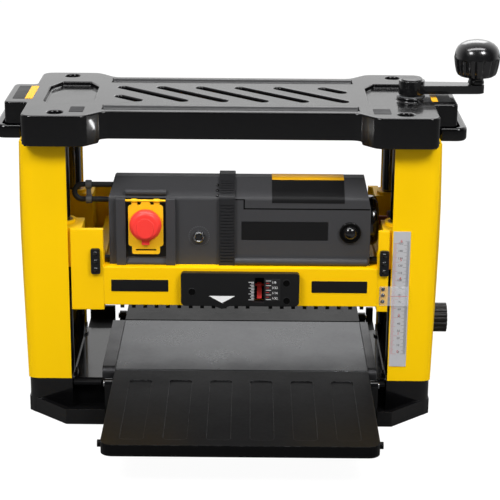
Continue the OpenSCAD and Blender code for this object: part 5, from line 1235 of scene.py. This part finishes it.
@dataclass
class MotorHousing(Assembly):
    """Motor cover with lid, strap, end bell, brush caps, breaker, lead and clip."""

    body: str = "carriage"
    edge: float = 1.2 * MM
    front: float = -0.093
    label_x: Pair = (0.0537, 0.147)
    label_h: float = 0.35 * MM
    label_step: float = 1 * MM
    lid: tuple = ((-0.093, 0.290), (-0.093, 0.296), (-0.061, 0.315), (-0.0435, 0.315))
    lid_radii: Pair = (6 * MM, 14 * MM)
    header_rows: int = 22
    side_plate: tuple = ((0.0150, 0.2398), (0.1262, 0.2642))
    side_plate_depth: float = 0.8 * MM
    side_plate_round: float = 1.0 * MM
    side_plate_h: float = 0.5 * MM
    # Strokes of painted shade along the seam between the lid and the cover, which sit flush.
    seam_shade: tuple = ((0.0066, 0.2935, 0.0188, 0.2948), (0.0172, 0.2812, 0.0188, 0.2935),
                   (0.0188, 0.2812, 0.1803, 0.2828))
    seam_gap: float = 0.15 * MM
    stud_x: float = -0.0167
    stud_rows: tuple = (4, 13, 22)
    stud_mm: tuple = ((0, 1.8), (1.2, 1.5), (2.0, 0.8), (2.2, 0))
    breaker: Pair = (-0.040, 0.2445)
    breaker_rise: float = 2 * MM
    breaker_mm: tuple = ((4.6, 0), (4.6, 2.6), (5.4, 3.4), (7.0, 2.6), (7.8, 0.6), (7.8, -3))
    dial_marks: int = 30
    dial_half_angle: float = 0.055
    dial_r: Pair = (12.3 * MM, 13.9 * MM)
    dial_gap: float = 0.2 * MM
    brush_r: float = 9.0 * MM
    brush_h: float = 6.5 * MM
    # Profile of a raised ring of painted shade round each brush dome, in place of the dark recess round the
    # cap.
    brush_recess_shade_mm: tuple = ((9.4, 0.1), (10.4, 0.9), (12.6, 0.9), (13.4, 0.3), (13.8, -0.4))
    lead_r: float = 3.5 * MM
    lead_runs: tuple = ((-0.142, -0.160, -0.178), (-0.178, -0.167, -0.156))
    collar_mm: tuple = ((0, -4), (1.6, -4), (2.2, -3.4), (2.2, 3.4), (1.6, 4), (0, 4))
    link_round: float = 1 * MM
    link_half: float = 3 * MM
    link_h: float = 3 * MM

    def labels(self) -> None:
        """Adds the bare plates on the lid and in the recess, a line of painted shade along the lid's seam, and
        the strap's studs.
        """
        path = Surface.profile(np.array(self.lid), self.lid_radii, self.label_step)
        for name, rows, finish in (("lid_plate", path[:1 - self.header_rows], PLATE_BLACK),
                                   ("lid_plate_head", path[-self.header_rows:], PLATE_YELLOW)):
            self.add(Surface.wrapped(name, rows, self.label_x, self.label_h), finish)
        recess = facing_front(self.front + self.side_plate_depth)
        plate = Surface.plate("side_plate", *self.side_plate, recess, self.side_plate_round, self.side_plate_h)
        self.add(plate, PLATE_BLACK)
        face = facing_front(self.front - self.seam_gap)
        # The lid sits flush with the cover, so its seam is drawn as strokes of painted shade.
        self.marks("lid_seam_shade", strokes(np.array(self.seam_shade)), PAINTED_SHADE, face)
        slope = Surface.profile(np.array(self.lid[1:]), self.lid_radii[1:], self.label_step)
        for k, (y, z, ny, nz) in enumerate(slope[list(self.stud_rows)]):
            stud = Surface.turned(f"strap_stud_{k}", in_mm(*self.stud_mm), (self.stud_x, y, z), (0, ny, nz),
                                  sides=20)
            self.add(stud, GLOSS_PLASTIC)

    def overload(self) -> None:
        """Adds the breaker's chromed ring and the dial of short strokes round it."""
        x, z = self.breaker
        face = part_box("breaker_button")[0].y + self.breaker_rise
        self.add(Surface.turned("breaker_ring", in_mm(*self.breaker_mm), (x, face, z), FORWARD), STEEL)
        a = (np.arange(self.dial_marks)[:, None] * 2 * np.pi / self.dial_marks
             + self.dial_half_angle * np.array([-1, 1, 1, -1]))
        r = np.repeat(self.dial_r, 2)
        corners = np.stack([x + r * np.cos(a), z + r * np.sin(a)], -1)
        self.marks("breaker_dial", corners, GREY, facing_front(self.front - self.dial_gap))

    def brushes(self) -> None:
        """Adds a glossy dome on each brush cap, in a raised near-black ring of painted shade that stands in for
        the recess round it.
        """
        lo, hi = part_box("brush_caps")
        x, z = (lo.x + hi.x) / 2, (lo.z + hi.z) / 2
        cap = dome(self.brush_r, self.brush_h, 10)
        ring = in_mm(*self.brush_recess_shade_mm)
        for side, y, out in (("front", lo.y, -1), ("rear", hi.y, 1)):
            self.add(Surface.turned(f"{side}_brush_dome", cap, (x, y, z), (0, out, 0)), GLOSS_PLASTIC)
            # The near-black ring is painted shade of the recess round the cap.
            self.add(Surface.turned(f"{side}_brush_recess_shade", ring, (x, y, z), (0, out, 0)), PAINTED_SHADE)

    def lead_place(self) -> tuple[float, float, float, float]:
        """Gives the x that the lead's bend reaches, the lead's y and the heights of its upper and lower run."""
        lo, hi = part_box("motor_lead")
        return lo.x + self.lead_r, (lo.y + hi.y) / 2, hi.z - self.lead_r, lo.z + self.lead_r

    def clip(self) -> None:
        """Stands a fine clip in the lead clip's place: a collar round each run and a link between them."""
        lo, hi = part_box("lead_clip")
        x, r = (lo.x + hi.x) / 2, self.lead_r
        _, y, upper, lower = self.lead_place()
        collar = in_mm(*self.collar_mm) + (r, 0)
        pieces = [Surface.turned(f"lead_collar_{k}", collar, (x, y, z), (1, 0, 0), sides=28)
                  for k, z in enumerate((upper, lower))]
        low, high = (x - self.link_half, lower + r), (x + self.link_half, upper - r)
        pieces.append(Surface.plate("lead_link", low, high, facing_front(y + self.link_h / 2), self.link_round,
                                    self.link_h))
        for piece in pieces:
            self.add(piece, GREY)
            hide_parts("lead_clip")

    def lead(self) -> None:
        """Stands a smooth tube in the lead's place: two runs joined by a half turn."""
        a = np.linspace(0, np.pi, 25)
        first, last = self.lead_runs
        reach, y, upper, lower = self.lead_place()
        bend_r = (upper - lower) / 2
        x = np.concatenate([first, reach + bend_r - bend_r * np.sin(a), last])
        z = np.concatenate([[upper] * len(first), lower + bend_r + bend_r * np.cos(a), [lower] * len(last)])
        tube = Surface.swept("lead_tube", np.stack([x, np.full(len(x), y), z], -1), self.lead_r)
        self.add(tube, RUBBER)
        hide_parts("motor_lead")

    def build(self) -> None:
        """Dresses the housing and adds its brush domes, clip, bare plates, breaker ring and lead."""
        self.soften("motor_cover", CHARCOAL, self.edge)
        self.soften("motor_cover_lid", CHARCOAL, self.edge)
        self.dress(STRAP, "cover_strap")
        self.dress(GLOSS_PLASTIC, "motor_end_bell", "brush_caps", "breaker_button")
        self.brushes()
        self.clip()
        self.labels()
        self.overload()
        self.lead()


@dataclass
class Switch(Assembly):
    """Switch body, flap, stop paddle and buttons."""

    body: str = "carriage"
    flap_edge: float = 0.7 * MM

    def build(self) -> None:
        """Dresses the switch."""
        self.dress(PLASTIC, "switch_body")
        self.dress(GREEN, "start_button")
        self.dress(RED, "stop_button", "stop_paddle")
        self.soften("switch_flap", FLAP_YELLOW, self.flap_edge)


@dataclass
class Tables(Assembly):
    """Folding infeed and outfeed tables."""

    def build(self) -> None:
        """Dresses both tables."""
        self.dress(TABLE, "infeed_table", "outfeed_table")


def main() -> None:
    """Builds the studio and every sub-assembly."""
    logging.basicConfig(level=logging.INFO, format="%(name)s: %(message)s")
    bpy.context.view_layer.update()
    Studio().build()
    for part in (Base(), Columns(), TopCover(), Crank(), Carriage(), MotorHousing(), Switch(), Tables()):
        part.build()
        LOG.info("%s: %d pieces added", type(part).__name__, part.count)


if __name__ == "__main__":
    main()
